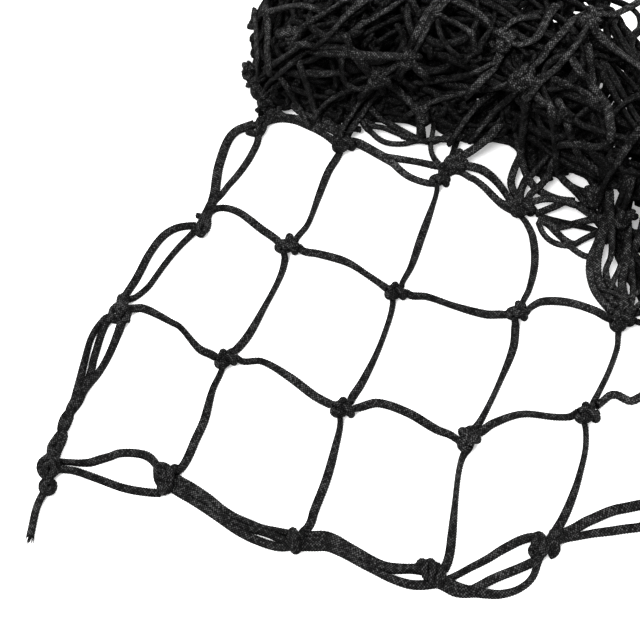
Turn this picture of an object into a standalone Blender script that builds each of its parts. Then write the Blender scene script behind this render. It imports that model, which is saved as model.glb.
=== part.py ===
# Cargo net of knotted 5.5 mm braided cord, one corner laid flat, the rest
# folded back and forth in a heap behind it and round its right side.
# Units: metres in the scene; the tables below are in millimetres.
# +X runs along the net's rows, +Y along its columns, +Z up, floor at Z = 0.
import bpy
import math

MM = 0.001

# ---------------------------------------------------------------- sizes (mm)
CORD_R = 3.0            # circumradius of the six-sided cord
KNOT_R = 8.6            # circumradius at the middle of a knot
BORDER_KNOT_R = 10.0    # border knots tie in the extra strands
GAP = 0.35              # clearance between pieces that touch
HEAP_STANDOFF = 1.3     # cords end this far short of the heap's front face
LAYERS = 6              # folded layers in the heap
LAYER_GAP = 3.0         # air between two layers
CENTRE = (267.66, 258.91)  # middle of the net's box, measured from the corner knot

# How a knot swells along its cord: distance from its middle, share of swelling
KNOT_PROFILE = (
    # s_mm, share
    (0.0, 1.00),
    (5.0, 0.90),
    (8.5, 0.50),
    (12.5, 0.00),
)

# ------------------------------------------------------------------- knots
KNOTS = {
    # name: (x_mm, y_mm)      front border row
    "k00": (0.0, 0.0),
    "k10": (83.0, 19.0),
    "k20": (187.5, -1.0),
    "k30": (283.5, 8.0),
    "k40": (350.0, 51.5),
    "k50": (431.0, 112.0),
    # row 1
    "k01": (-1.0, 135.0),
    "k11": (92.0, 119.0),
    "k21": (188.5, 107.0),
    "k31": (281.0, 111.5),
    "k41": (359.5, 158.0),
    # row 2
    "k02": (30.5, 229.0),
    "k12": (103.5, 230.5),
    "k22": (197.5, 215.5),
    "k32": (291.5, 227.0),
    "k42": (368.5, 243.5),
    # row 3
    "k03": (40.5, 342.5),
    "k13": (115.0, 342.5),
    "k23": (202.0, 332.5),
    "k33": (273.5, 323.5),
}

# Where cords run into the heap (the y is taken from the heap's front face)
HEAP_ENDS = {
    # name: x_mm
    "h0": 52.0,
    "h1": 122.0,
    "h2": 207.0,
    "h3": 265.0,
    "h3r": 318.0,
    "h4": 371.0,
}
# ... and the ones that meet the part of the heap that lies to the right
SIDE_ENDS = {
    # name: (x_mm, y_mm)
    "s0a": (474.2, 155.2),
    "s0b": (484.9, 143.9),
    "s0c": (448.3, 188.0),
    "s1": (441.3, 205.6),
    "s2": (405.6, 262.0),
}

# ------------------------------------------------------------ column cords
# Sideways offsets (mm) at 1/4, 1/2 and 3/4 of each stretch; + is to the left
# of the way the cord runs.
COLUMNS = {
    # node: ((start, end, off_1, off_2, off_3), ...)
    "col_1": (("k10", "k11", -8.0, -6.3, -1.0),
              ("k11", "k12", -5.5, -6.0, -5.5),
              ("k12", "k13", -4.7, -1.5, 1.5),
              ("k13", "h1", 0.0, 0.0, 0.0)),
    "col_2": (("k20", "k21", -6.3, -5.1, -3.2),
              ("k21", "k22", -4.0, -5.2, -3.8),
              ("k22", "k23", -3.3, -2.4, -1.8),
              ("k23", "h2", 0.0, 0.0, 0.0)),
    "col_3": (("k30", "k31", -6.2, -3.0, 0.2),
              ("k31", "k32", -4.8, -6.6, -6.7),
              ("k32", "k33", -8.8, -12.3, -10.1),
              ("k33", "h3", 0.0, 0.0, 0.0)),
    "col_4": (("k40", "k41", -7.9, -8.9, -7.0),
              ("k41", "k42", -2.5, -4.5, -4.5),
              ("k42", "h4", 0.0, 0.0, 0.0)),
    "col_5": (("k50", "s0c", -1.5, -2.0, -1.5),),
}

# How far from the middle of the border knot each column cord starts
COLUMN_CUT = {
    # node: mm
    "col_1": 10.4,
    "col_2": 10.4,
    "col_3": 10.4,
    "col_4": 15.0,
    "col_5": 13.5,
}

# ---------------------------------------------------------------- row runs
# Each run lies between two knots. cut_a and cut_b are how far short of the
# knot's middle it stops; off_a and off_b its sideways offset there, off_1 to
# off_3 those at 1/4, 1/2 and 3/4.
ROWS = (
    # node, start, end, cut_a, off_a, off_1, off_2, off_3, off_b, cut_b
    ("row_1_a", "k01", "k11", 11.5, 8.0, 12.0, 9.2, 2.3, 0.8, 9.6),
    ("row_1_b", "k11", "k21", 9.5, 7.0, 11.6, 8.6, 2.3, 0.8, 9.6),
    ("row_1_c", "k21", "k31", 9.5, 7.5, 13.2, 11.2, 3.5, 1.2, 9.6),
    ("row_1_d", "k31", "k41", 13.0, 3.0, 9.6, 12.2, 4.7, 1.5, 9.8),
    ("row_1_e", "k41", "s1", 12.0, 1.5, 6.5, -1.5, -1.0, 0.0, 0.0),
    ("row_2_a", "k02", "k12", 12.0, 10.0, 16.0, 14.8, 5.8, 2.0, 9.6),
    ("row_2_b", "k12", "k22", 9.6, 4.0, 6.5, 9.7, 5.5, 2.0, 9.8),
    ("row_2_c", "k22", "k32", 9.4, 1.5, 2.8, -1.7, -4.2, -2.0, 9.6),
    ("row_2_d", "k32", "k42", 11.0, 8.5, 13.9, 15.3, 10.3, 6.5, 10.0),
    ("row_2_e", "k42", "s2", 10.0, 0.0, 0.0, 0.0, 0.0, 0.0, 0.0),
    ("row_3_a", "k03", "k13", 11.5, 3.5, 5.5, 6.5, 4.0, 1.5, 9.8),
    ("row_3_b", "k13", "k23", 9.6, 3.5, 7.5, 4.6, -4.9, -2.5, 9.8),
    ("row_3_c", "k23", "k33", 9.6, 5.0, 9.5, 9.5, 5.5, 2.5, 9.8),
    ("row_3_d", "k33", "h3r", 10.0, 0.0, 0.0, 0.0, 0.0, 0.0, 0.0),
)

# ----------------------------------------------------------- border strands
# One strand of each border runs through all its knots; the others are runs
# of their own. lift columns raise a strand that lies on top of the rest.
BORDER_MAIN = {
    # node: ((start, end, off_1, off_2, off_3), ...)
    "border_front_main": (("k00", "k10", -2.8, -7.3, -11.1),
                          ("k10", "k20", -2.5, -5.5, -4.5),
                          ("k20", "k30", 5.0, 0.0, -4.5),
                          ("k30", "k40", -13.0, -12.5, -11.0),
                          ("k40", "k50", -2.2, -5.6, -8.5),
                          ("k50", "s0b", -2.5, -3.0, -1.8)),
    "border_left_main": (("k00", "k01", -3.3, -5.0, -7.0),
                         ("k01", "k02", -1.8, 0.4, 2.2),
                         ("k02", "k03", 1.5, -3.7, -6.0),
                         ("k03", "h0", 0.0, 0.0, 0.0)),
}
BORDER_RUNS = (
    # node, start, end, cut_a, off_a, off_1, off_2, off_3, off_b, cut_b
    ("border_front_a", "k00", "k10", 13.5, 5.4, 5.6, 11.0, 15.0, 11.5, 13.5),
    ("border_front_b", "k10", "k20", 14.5, 6.8, 4.4, 1.4, 2.4, 4.2, 14.0),
    ("border_front_c", "k10", "k20", 14.0, -8.4, -9.4, -12.4, -11.6, -9.4, 14.0),
    ("border_front_d", "k20", "k30", 14.0, 9.6, 11.9, 7.0, 2.8, 4.4, 14.0),
    ("border_front_e", "k20", "k30", 14.0, -4.4, -2.0, -7.0, -11.6, -9.8, 14.0),
    ("border_front_f", "k30", "k40", 15.0, -2.6, -1.8, 2.3, 7.5, 7.5, 13.5),
    ("border_front_g", "k30", "k40", 15.0, -19.5, -21.0, -24.5, -23.0, -19.5, 13.5),
    ("border_front_h", "k40", "k50", 21.0, 4.8, 5.6, 7.7, 5.4, 3.4, 13.5),
    ("border_front_i", "k50", "s0a", 18.5, 2.2, 2.0, 2.4, 1.4, 0.0, 0.0),
    ("border_left_a", "k00", "k01", 14.5, 5.9, 3.8, 3.6, 5.2, 4.4, 14.0),
    ("border_left_b", "k00", "k01", 17.0, 0.6, 0.2, 8.4, 12.9, 11.2, 13.5),
    ("border_left_c", "k01", "k02", 14.0, 6.2, 7.9, 15.3, 17.3, 13.0, 13.5),
    ("border_left_d", "k02", "k03", 14.0, 7.6, 8.6, 13.3, 18.3, 12.0, 13.5),
)
# A strand that rides on top of the others, by its height over the floor
LIFTS = {
    # node: (lift_a, lift_1, lift_2, lift_3, lift_b) in mm
    "border_left_b": (6.0, 6.4, 5.0, 0.0, 0.0),
}

# ------------------------------------------------------------------- tail
# Free end of the border cord at the corner, with its stopper knot
TAIL = (
    # x_mm, y_mm, radius_mm
    (1.6, -10.8, 3.0),
    (3.4, -13.0, 3.4),
    (5.8, -16.0, 6.6),
    (6.6, -19.0, 7.0),
    (6.0, -22.0, 6.2),
    (5.4, -25.0, 3.0),
    (6.0, -32.0, 3.0),
    (7.6, -39.5, 3.0),
    (9.4, -46.8, 3.0),
    (10.8, -52.5, 3.0),
    (11.6, -58.0, 2.6),
)

# ------------------------------------------------------------------- heap
# Sections across the heap, from its left end to its right end
HEAP = (
    # x_mm, front_y, back_y, height, top_lean (how far the top leans back)
    (8.0, 394.0, 446.0, 44.0, 3.0),
    (22.0, 376.0, 484.0, 76.0, 5.0),
    (60.0, 365.0, 506.0, 99.0, 8.0),
    (110.0, 363.0, 520.0, 107.0, 4.0),
    (160.0, 366.0, 526.0, 110.0, 2.0),
    (212.0, 367.0, 527.0, 103.0, 6.0),
    (262.0, 371.0, 529.0, 99.0, 10.0),
    (304.0, 362.0, 530.0, 106.0, 8.0),
    (345.0, 334.0, 530.0, 113.0, 4.0),
    (385.0, 293.0, 527.0, 114.0, 0.0),
    (425.0, 236.0, 515.0, 108.0, -4.0),
    (465.0, 166.0, 486.0, 99.0, -3.0),
    (500.0, 131.0, 441.0, 87.0, 0.0),
    (530.0, 139.0, 382.0, 69.0, 3.0),
    (552.0, 186.0, 312.0, 44.0, 3.0),
)
# Each layer reaches a little less or more far at its folds than the one below
LAYER_EDGE = (
    # front_inset_mm, back_inset_mm
    (0.0, 0.0),
    (2.0, 3.0),
    (-1.0, 2.0),
    (5.0, 8.0),
    (9.0, 12.0),
    (20.0, 24.0),
)
SIDE_STEPS = (0.2, 0.5, 0.8)    # points along each layer between its folds
FOLD_STEPS = 4                  # flats round the outside of a fold
TOP_WAVE = 0.05                 # share by which the layers rise and fall


# ---------------------------------------------------------------- scene set-up
def clear_scene():
    for ob in list(bpy.data.objects):
        bpy.data.objects.remove(ob, do_unlink=True)


def material(name, color, rough):
    m = bpy.data.materials.new(name)
    m.use_nodes = True
    p = m.node_tree.nodes["Principled BSDF"]
    p.inputs["Base Color"].default_value = (*color, 1.0)
    p.inputs["Roughness"].default_value = rough
    p.inputs["Metallic"].default_value = 0.0
    m.diffuse_color = (*color, 1.0)
    return m


def add_object(name, verts, faces, color):
    """verts in millimetres, measured from the corner knot."""
    me = bpy.data.meshes.new(name)
    cx, cy = CENTRE
    me.from_pydata([((x - cx) * MM, (y - cy) * MM, z * MM) for x, y, z in verts],
                   [], faces)
    me.update()
    ob = bpy.data.objects.new(name, me)
    bpy.context.scene.collection.objects.link(ob)
    me.materials.append(material(name, color, 0.75))
    return ob


# ------------------------------------------------------------------- heap form
def lerp(a, b, t):
    return a + (b - a) * t


def heap_at(x):
    """Heap table read at x, linear between its sections, as the faces are."""
    rows = HEAP
    if x <= rows[0][0]:
        return rows[0][1:]
    for a, b in zip(rows, rows[1:]):
        if x <= b[0]:
            t = (x - a[0]) / (b[0] - a[0])
            return tuple(lerp(p, q, t) for p, q in zip(a[1:], b[1:]))
    return rows[-1][1:]


def heap_wave(x, y):
    """Slow rise and fall of the layers over the heap."""
    return 1.0 + TOP_WAVE * (0.6 * math.sin(x / 41.0 + y / 90.0)
                             + 0.4 * math.sin(y / 33.0 - x / 70.0 + 1.3))


def heap_section(x, front, back, height, lean):
    """Closed outline (y, z) of one back-and-forth folded section."""
    t = (height - (LAYERS - 1) * LAYER_GAP) / LAYERS      # layer thickness
    pitch = t + LAYER_GAP
    r_out = t + 0.5 * LAYER_GAP
    r_in = 0.5 * LAYER_GAP
    span = back - front
    squeeze = min(0.42 * r_out, 0.16 * span) / r_out      # folds are flattened

    def ends(k):
        f, b = LAYER_EDGE[k]
        s = min(1.0, span / 160.0)
        return front + f * s, back - b * s

    def side(k, z, toward_back):
        y0, y1 = ends(k)
        steps = SIDE_STEPS if toward_back else tuple(reversed(SIDE_STEPS))
        inner0 = y0 + (r_out * squeeze if k else 0.0)
        inner1 = y1 - r_out * squeeze
        return [(lerp(inner0, inner1, s), z) for s in steps]

    def fold(k, r, at_back, up, n):
        """Half round between layer k and layer k + 1."""
        zc = k * pitch + t + 0.5 * LAYER_GAP
        ya = ends(k)[1 if at_back else 0]
        yb = ends(k + 1)[1 if at_back else 0]
        sgn = 1.0 if at_back else -1.0
        pts = []
        for i in range(n + 1):
            a = -0.5 * math.pi + math.pi * i / n
            y_edge = lerp(ya, yb, 0.5 + 0.5 * math.sin(a))
            y_c = y_edge - sgn * r_out * squeeze
            pts.append((y_c + sgn * r * squeeze * math.cos(a), zc + r * math.sin(a)))
        return pts if up else list(reversed(pts))

    pts = [(ends(0)[0], 0.0)]
    # up the outer way: under layer 0, over layer 1, under layer 2 ...
    for k in range(LAYERS):
        z = k * pitch if k % 2 == 0 else k * pitch + t
        pts += side(k, z, k % 2 == 0)
        if k < LAYERS - 1:
            at_back = k % 2 == 0
            outer = at_back
            pts += fold(k, r_out if outer else r_in, at_back, True,
                        FOLD_STEPS if outer else 2)
    last_front = LAYERS % 2 == 0        # the last layer ends at the front
    y0, y1 = ends(LAYERS - 1)
    z0 = (LAYERS - 1) * pitch
    y_end = y0 if last_front else y1
    pts += [(y_end, z0 + t * 0.8), (y_end, z0 + t * 0.2)]
    # and back down the other side of the strip
    for k in range(LAYERS - 1, -1, -1):
        z = k * pitch + t if k % 2 == 0 else k * pitch
        pts += side(k, z, k % 2 == 1)
        if k > 0:
            at_back = (k - 1) % 2 == 0
            outer = not at_back
            pts += fold(k - 1, r_out if outer else r_in, at_back, False,
                        FOLD_STEPS if outer else 2)
    pts.append((ends(0)[0], t * 0.92))

    out = []
    for y, z in pts:
        h = z / height
        y2 = y + lean * h * h
        out.append((y2, z * heap_wave(x, y)))
    return out


def build_heap():
    verts, faces = [], []
    rings = []
    for x, front, back, height, lean in HEAP:
        sec = heap_section(x, front, back, height, lean)
        rings.append(range(len(verts), len(verts) + len(sec)))
        verts += [(x, y, z) for y, z in sec]
    n = len(rings[0])
    for a, b in zip(rings, rings[1:]):
        for i in range(n):
            j = (i + 1) % n
            faces.append((a[i], a[j], b[j], b[i]))
    faces.append(tuple(reversed(rings[0])))
    faces.append(tuple(rings[-1]))
    return add_object("heap_folds", verts, faces, (0.016, 0.016, 0.017))


# ------------------------------------------------------------------- cord tools
def hermite(p, q, m, n, t):
    h00 = 2 * t ** 3 - 3 * t ** 2 + 1
    h10 = t ** 3 - 2 * t ** 2 + t
    h01 = -2 * t ** 3 + 3 * t ** 2
    h11 = t ** 3 - t ** 2
    return tuple(h00 * a + h10 * b + h01 * c + h11 * d
                 for a, b, c, d in zip(p, m, q, n))


def smooth(points, per_span):
    """Catmull-Rom curve through the points, chord-length tangents."""
    out = []
    k = len(points)

    def dist(a, b):
        return math.dist(a, b) or 1e-6

    for i in range(k - 1):
        p, q = points[i], points[i + 1]
        d = dist(p, q)
        if i > 0:
            o = points[i - 1]
            s = dist(o, q)
            m = tuple((b - a) * d / s for a, b in zip(o, q))
        else:
            m = tuple(b - a for a, b in zip(p, q))
        if i < k - 2:
            r = points[i + 2]
            s = dist(p, r)
            n = tuple((b - a) * d / s for a, b in zip(p, r))
        else:
            n = tuple(b - a for a, b in zip(p, q))
        for j in range(per_span):
            out.append(hermite(p, q, m, n, j / per_span))
    out.append(points[-1])
    return out


def place(name):
    if name in KNOTS:
        return KNOTS[name]
    if name in HEAP_ENDS:
        x = HEAP_ENDS[name]
        slope = (heap_at(x + 3.0)[0] - heap_at(x - 3.0)[0]) / 6.0
        return (x, heap_at(x)[0] - HEAP_STANDOFF - CORD_R * abs(slope))
    x, y = SIDE_ENDS[name]
    return (x, y)


def bowed(a, b, offs, lifts=(0.0, 0.0, 0.0)):
    """Inner points of one stretch at 1/4, 1/2 and 3/4, pushed sideways."""
    (ax, ay), (bx, by) = a, b
    d = math.hypot(bx - ax, by - ay)
    nx, ny = -(by - ay) / d, (bx - ax) / d
    pts = []
    for t, o, l in zip((0.25, 0.5, 0.75), offs, lifts):
        pts.append((lerp(ax, bx, t) + nx * o, lerp(ay, by, t) + ny * o, l))
    return pts


def trim(path, cut_a, cut_b):
    """Shorten a path at its ends by straight distance from its end points."""
    a, b = path[0], path[-1]

    def cross(pts, c, r):
        for i in range(len(pts) - 1):
            d0 = math.dist(pts[i][:2], c[:2])
            d1 = math.dist(pts[i + 1][:2], c[:2])
            if d0 <= r < d1:
                t = (r - d0) / (d1 - d0)
                p = tuple(lerp(u, v, t) for u, v in zip(pts[i], pts[i + 1]))
                return [p] + pts[i + 1:]
        return pts
    if cut_a > 0:
        path = cross(path, a, cut_a)
    if cut_b > 0:
        path = list(reversed(cross(list(reversed(path)), b, cut_b)))
    return path


def tube(name, path, radii, color):
    """Six-sided cord with a flat underside; path z is the underside's height."""
    verts, faces = [], []
    n = len(path)
    c60 = math.sin(math.radians(60))
    for i, (x, y, z) in enumerate(path):
        p = path[max(i - 1, 0)]
        q = path[min(i + 1, n - 1)]
        dx, dy = q[0] - p[0], q[1] - p[1]
        d = math.hypot(dx, dy) or 1e-6
        lx, ly = -dy / d, dx / d
        r = radii[i]
        for k in range(6):
            a = math.radians(60 * k)
            u, w = r * math.cos(a), r * math.sin(a)
            verts.append((x + lx * u, y + ly * u, z + c60 * r + w))
    for i in range(n - 1):
        for k in range(6):
            j = (k + 1) % 6
            a, b = i * 6 + k, i * 6 + j
            faces.append((a, b, b + 6, a + 6))
    faces.append(tuple(reversed(range(6))))
    faces.append(tuple(range((n - 1) * 6, n * 6)))
    return add_object(name, verts, faces, color)


def knotted_tube(name, stretches, knot_r, cut_a, cut_b, color, end_knots=()):
    """One cord through several knots; it swells at each knot it passes."""
    points = []
    centres = []
    for i, (a, b, *offs) in enumerate(stretches):
        pa, pb = place(a), place(b)
        if i == 0:
            points.append((*pa, 0.0))
        points += bowed(pa, pb, offs)
        points.append((*pb, 0.0))
        if i < len(stretches) - 1 or b in end_knots:
            centres.append(pb)
    if stretches[0][0] in end_knots:
        centres.insert(0, place(stretches[0][0]))
    dense = smooth(points, 12)
    dense = trim(dense, cut_a, cut_b)
    # keep rings where a knot's profile needs them, and about every 14 mm else
    s = [0.0]
    for p, q in zip(dense, dense[1:]):
        s.append(s[-1] + math.dist(p, q))

    def at(v):
        v = min(max(v, 0.0), s[-1])
        for i in range(len(s) - 1):
            if v <= s[i + 1]:
                t = (v - s[i]) / ((s[i + 1] - s[i]) or 1e-9)
                return tuple(lerp(a, b, t) for a, b in zip(dense[i], dense[i + 1]))
        return dense[-1]

    def arc_of(c):
        k = min(range(len(dense)), key=lambda i: math.dist(dense[i][:2], c))
        return s[k]

    marks = {0.0: CORD_R, s[-1]: CORD_R}
    arcs = [arc_of(c) for c in centres]
    for sc in arcs:
        for d, share in KNOT_PROFILE:
            for v in (sc - d, sc + d):
                if -0.01 <= v <= s[-1] + 0.01:
                    v = min(max(v, 0.0), s[-1])
                    marks[v] = CORD_R + (knot_r - CORD_R) * share
    keys = sorted(marks)
    rings = []
    for v0, v1 in zip(keys, keys[1:]):
        rings.append((v0, marks[v0]))
        gap = v1 - v0
        if gap > 15.0:
            m = int(round(gap / 11.0))
            for j in range(1, m):
                rings.append((v0 + gap * j / m, CORD_R))
    rings.append((keys[-1], marks[keys[-1]]))
    path = [at(v) for v, _ in rings]
    return tube(name, path, [r for _, r in rings], color)


def run_tube(name, a, b, cut_a, offs, cut_b, lifts, color):
    """A run beside its chord: off_a, off_1, off_2, off_3, off_b sideways."""
    (ax, ay), (bx, by) = place(a), place(b)
    d = math.hypot(bx - ax, by - ay)
    nx, ny = -(by - ay) / d, (bx - ax) / d
    points = []
    for t, o, l in zip((cut_a / d, 0.25, 0.5, 0.75, 1.0 - cut_b / d), offs, lifts):
        points.append((lerp(ax, bx, t) + nx * o, lerp(ay, by, t) + ny * o, l))
    dense = smooth(points, 8)
    s, acc = [0.0], 0.0
    for p, q in zip(dense, dense[1:]):
        acc += math.dist(p, q)
        s.append(acc)
    n = max(3, int(round(acc / 10.0)))
    path = []
    for i in range(n + 1):
        v = acc * i / n
        k = 0
        while k < len(s) - 2 and s[k + 1] < v:
            k += 1
        t = (v - s[k]) / ((s[k + 1] - s[k]) or 1e-9)
        x, y, z = (lerp(u, w, min(max(t, 0.0), 1.0)) for u, w in zip(dense[k], dense[k + 1]))
        path.append((x, y, max(z, 0.0)))
    return tube(name, path, [CORD_R] * (n + 1), color)


# ------------------------------------------------------------------------ build
def main():
    clear_scene()
    mesh_black = (0.018, 0.018, 0.019)
    border_black = (0.022, 0.022, 0.022)
    build_heap()
    for node, stretches in COLUMNS.items():
        knotted_tube(node, stretches, KNOT_R, COLUMN_CUT[node], 0.0, mesh_black)
    flat = (0.0,) * 5
    for node, a, b, cut_a, *offs, cut_b in ROWS:
        run_tube(node, a, b, cut_a, offs, cut_b, flat, mesh_black)
    knotted_tube("border_front_main", BORDER_MAIN["border_front_main"],
                 BORDER_KNOT_R, 0.0, 0.0, border_black, end_knots=("k00",))
    knotted_tube("border_left_main", BORDER_MAIN["border_left_main"],
                 BORDER_KNOT_R, BORDER_KNOT_R + 1.0, 0.0, border_black)
    for node, a, b, cut_a, *offs, cut_b in BORDER_RUNS:
        run_tube(node, a, b, cut_a, offs, cut_b, LIFTS.get(node, flat), border_black)
    tube("corner_tail", [(x, y, 0.0) for x, y, r in TAIL],
         [r for x, y, r in TAIL], border_black)


main()
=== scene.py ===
import math

import bpy
import numpy as np
from mathutils import Matrix, Vector


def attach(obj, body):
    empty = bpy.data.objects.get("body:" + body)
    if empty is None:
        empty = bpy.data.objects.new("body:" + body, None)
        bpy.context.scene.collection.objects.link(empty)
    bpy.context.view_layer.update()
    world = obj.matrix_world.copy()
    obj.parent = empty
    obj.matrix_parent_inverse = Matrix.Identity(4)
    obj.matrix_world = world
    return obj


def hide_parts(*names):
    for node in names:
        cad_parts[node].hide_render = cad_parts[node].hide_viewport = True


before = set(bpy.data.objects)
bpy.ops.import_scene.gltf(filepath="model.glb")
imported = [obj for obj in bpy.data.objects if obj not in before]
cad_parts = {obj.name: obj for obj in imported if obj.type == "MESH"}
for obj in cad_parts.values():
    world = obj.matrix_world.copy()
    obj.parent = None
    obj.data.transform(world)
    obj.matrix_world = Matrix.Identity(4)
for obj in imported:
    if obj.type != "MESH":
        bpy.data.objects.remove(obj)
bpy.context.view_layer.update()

# =============================================================== sizes (mm)
# Lengths here are millimetres measured from the corner knot, as in the CAD
# tables; CENTRE moves them to the row frame.
CENTRE = (267.66, 258.91)
CORD_R = 2.7              # the same round, as the free tail is
WIDE, THIN = 3.3, 2.05    # half sizes of the flat braided cord
TIGHT = 2.5               # half width of the cord pulled tight in a knot
MESH = 100.0              # knot to knot along a cord
NX, NY = 15, 22           # meshes across and along the whole net
BRAID_PITCH = 2.1         # length of one braid diamond
BRAID_AROUND = 8          # diamonds round the cord

# ================================================================== camera
CAM_AZ, CAM_EL = math.radians(18.0), math.radians(60.0)
CAM_DISTANCE = 852.0
CAM_TARGET = np.array((147.7, 176.9, 0.0))
CAM_F_PX = 1100.0
PHOTO_PX = 640.0
BACK = np.array((math.sin(CAM_AZ) * math.cos(CAM_EL), -math.cos(CAM_AZ) * math.cos(CAM_EL),
                 math.sin(CAM_EL)))
RIGHT = np.array((math.cos(CAM_AZ), math.sin(CAM_AZ), 0.0))
UP = np.cross(BACK, RIGHT)
EYE = CAM_TARGET + BACK * CAM_DISTANCE


def sight(u, v):
    """Way of the sight line through picture point (u, v)."""
    d = RIGHT * ((u - 320) / CAM_F_PX) - UP * ((v - 320) / CAM_F_PX) - BACK
    return d / np.linalg.norm(d)


def seen(u, v, h):
    """Where the sight line through picture point (u, v) is h over the floor."""
    d = sight(u, v)
    return EYE + d * ((h - EYE[2]) / d[2])


def picture(p):
    """Picture place of points, and their depth from the camera."""
    d = p - EYE
    z = -(d @ BACK)
    return 320 + CAM_F_PX * (d @ RIGHT) / z, 320 - CAM_F_PX * (d @ UP) / z, z

# =========================================================== flat corner
KNOTS = {
    # (column, row): (x, y)
    (0, 0): (0.0, 0.0), (1, 0): (83.0, 19.0), (2, 0): (187.5, -1.0),
    (3, 0): (283.5, 8.0), (4, 0): (350.0, 51.5),
    (0, 1): (-1.0, 135.0), (1, 1): (92.0, 119.0), (2, 1): (188.5, 107.0),
    (3, 1): (281.0, 111.5), (4, 1): (359.5, 158.0),
    (0, 2): (30.5, 229.0), (1, 2): (103.5, 230.5), (2, 2): (197.5, 215.5),
    (3, 2): (291.5, 227.0), (4, 2): (368.5, 243.5),
    (0, 3): (40.5, 342.5), (1, 3): (115.0, 342.5), (2, 3): (202.0, 332.5),
    (3, 3): (273.5, 323.5),
    # past the photo's right edge
    (5, 0): (431.0, 112.0), (5, 1): (451.0, 209.0),
}

# How each knot of the flat corner lies: the turn of its long axis from +X in
# degrees, its size, and whether its wraps run the other way
KNOT_LAY = {
    # (column, row): (turn, size, mirrored)
    (1, 1): (62.0, 0.98, False), (2, 1): (42.0, 1.02, False),
    (3, 1): (80.0, 1.08, True), (4, 1): (48.0, 1.06, False),
    (1, 2): (38.0, 1.12, True), (2, 2): (46.0, 0.98, False),
    (3, 2): (40.0, 1.02, True), (4, 2): (70.0, 1.15, False),
    (1, 3): (60.0, 1.15, False), (2, 3): (40.0, 1.0, True),
    (3, 3): (55.0, 1.15, False), (5, 1): (60.0, 1.0, False),
}

# Border knots: half width of the bundle of border strands they hold and turns
# of the wrap. Only the one at column 5 shows this lay; the rest are below.
BORDER_LAY = {
    # (column, row): (half_width, turns, lump)
    (0, 0): (4.5, 2.2, 0.0), (1, 0): (5.0, 2.3, 0.0), (2, 0): (6.2, 1.3, 0.0),
    (3, 0): (5.6, 2.0, 0.0), (4, 0): (5.4, 2.2, 0.0), (5, 0): (5.0, 1.6, 1.0),
    (0, 1): (5.4, 1.6, 0.0), (0, 2): (4.6, 1.6, 0.0), (0, 3): (4.8, 2.0, 0.0),
}

# Column cords between two knots: sideways offsets at 1/4, 1/2 and 3/4 of the
# stretch, + to the left of the way the cord runs (up the page)
COLUMN_RUNS = (
    # start, end, off_1, off_2, off_3
    ((1, 0), (1, 1), -8.0, -6.3, -1.0), ((1, 1), (1, 2), -5.5, -6.0, -5.5),
    ((1, 2), (1, 3), -4.7, -1.5, 1.5),
    ((2, 0), (2, 1), -6.3, -5.1, -3.2), ((2, 1), (2, 2), -4.0, -5.2, -3.8),
    ((2, 2), (2, 3), -3.3, -2.4, -1.8),
    ((3, 0), (3, 1), -6.2, -3.0, 0.2), ((3, 1), (3, 2), -4.8, -6.6, -6.7),
    ((3, 2), (3, 3), -8.8, -12.3, -10.1),
    ((4, 0), (4, 1), -7.9, -8.9, -7.0), ((4, 1), (4, 2), -2.5, -4.5, -4.5),
    ((5, 0), (5, 1), -4.0, -5.0, -3.0),
)
ROW_RUNS = (
    # start, end, off_1, off_2, off_3
    ((0, 1), (1, 1), 12.0, 7.8, 0.0), ((1, 1), (2, 1), 11.6, 8.6, 2.3),
    ((2, 1), (3, 1), 13.2, 11.2, 3.5), ((3, 1), (4, 1), 9.6, 12.2, 4.7),
    ((0, 2), (1, 2), 16.0, 14.8, 5.8), ((1, 2), (2, 2), 6.5, 9.7, 5.5),
    ((2, 2), (3, 2), 2.8, -1.7, -4.2), ((3, 2), (4, 2), 13.9, 15.3, 10.3),
)

# The cords below were laid over the picture. A point is (u, v): picture
# place in 640ths of its width, or (u, v, h) with the height of the cord's
# middle over the floor in mm, or (u, v, h, face) with the turn of its flat
# side: 0 lies flat, 90 stands on edge.
LEAVES_UP = {
    # border knot: how its column cord starts
    (1, 0): ((167, 469, 9), (174, 470.5, 7), (179, 470, 5), (185, 463), (190, 453), (195, 441)),
    (2, 0): ((295, 538, 8), (300, 536, 6.5), (304, 531.5), (308, 527.5), (311.5, 521), (314, 512)),
    (3, 0): ((437, 574, 7), (442, 571.5, 5), (446, 566, 3.5), (449, 557), (451, 545)),
    (4, 0): ((549, 542, 9), (553, 536, 7), (557, 529), (563, 519), (569, 506), (574, 493), (578, 481)),
}
LEAVES_RIGHT = {
    # left border knot: how its row cord starts
    (0, 1): ((121, 307, 8), (127, 308.5, 6), (135, 308.5), (141, 308), (150, 311), (160, 316),
             (170, 321.5), (180, 327)),
    (0, 2): ((204, 219, 8), (208, 214, 6), (214, 210), (221, 208), (230, 209), (240, 213),
             (250, 220), (260, 228)),
}
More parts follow.
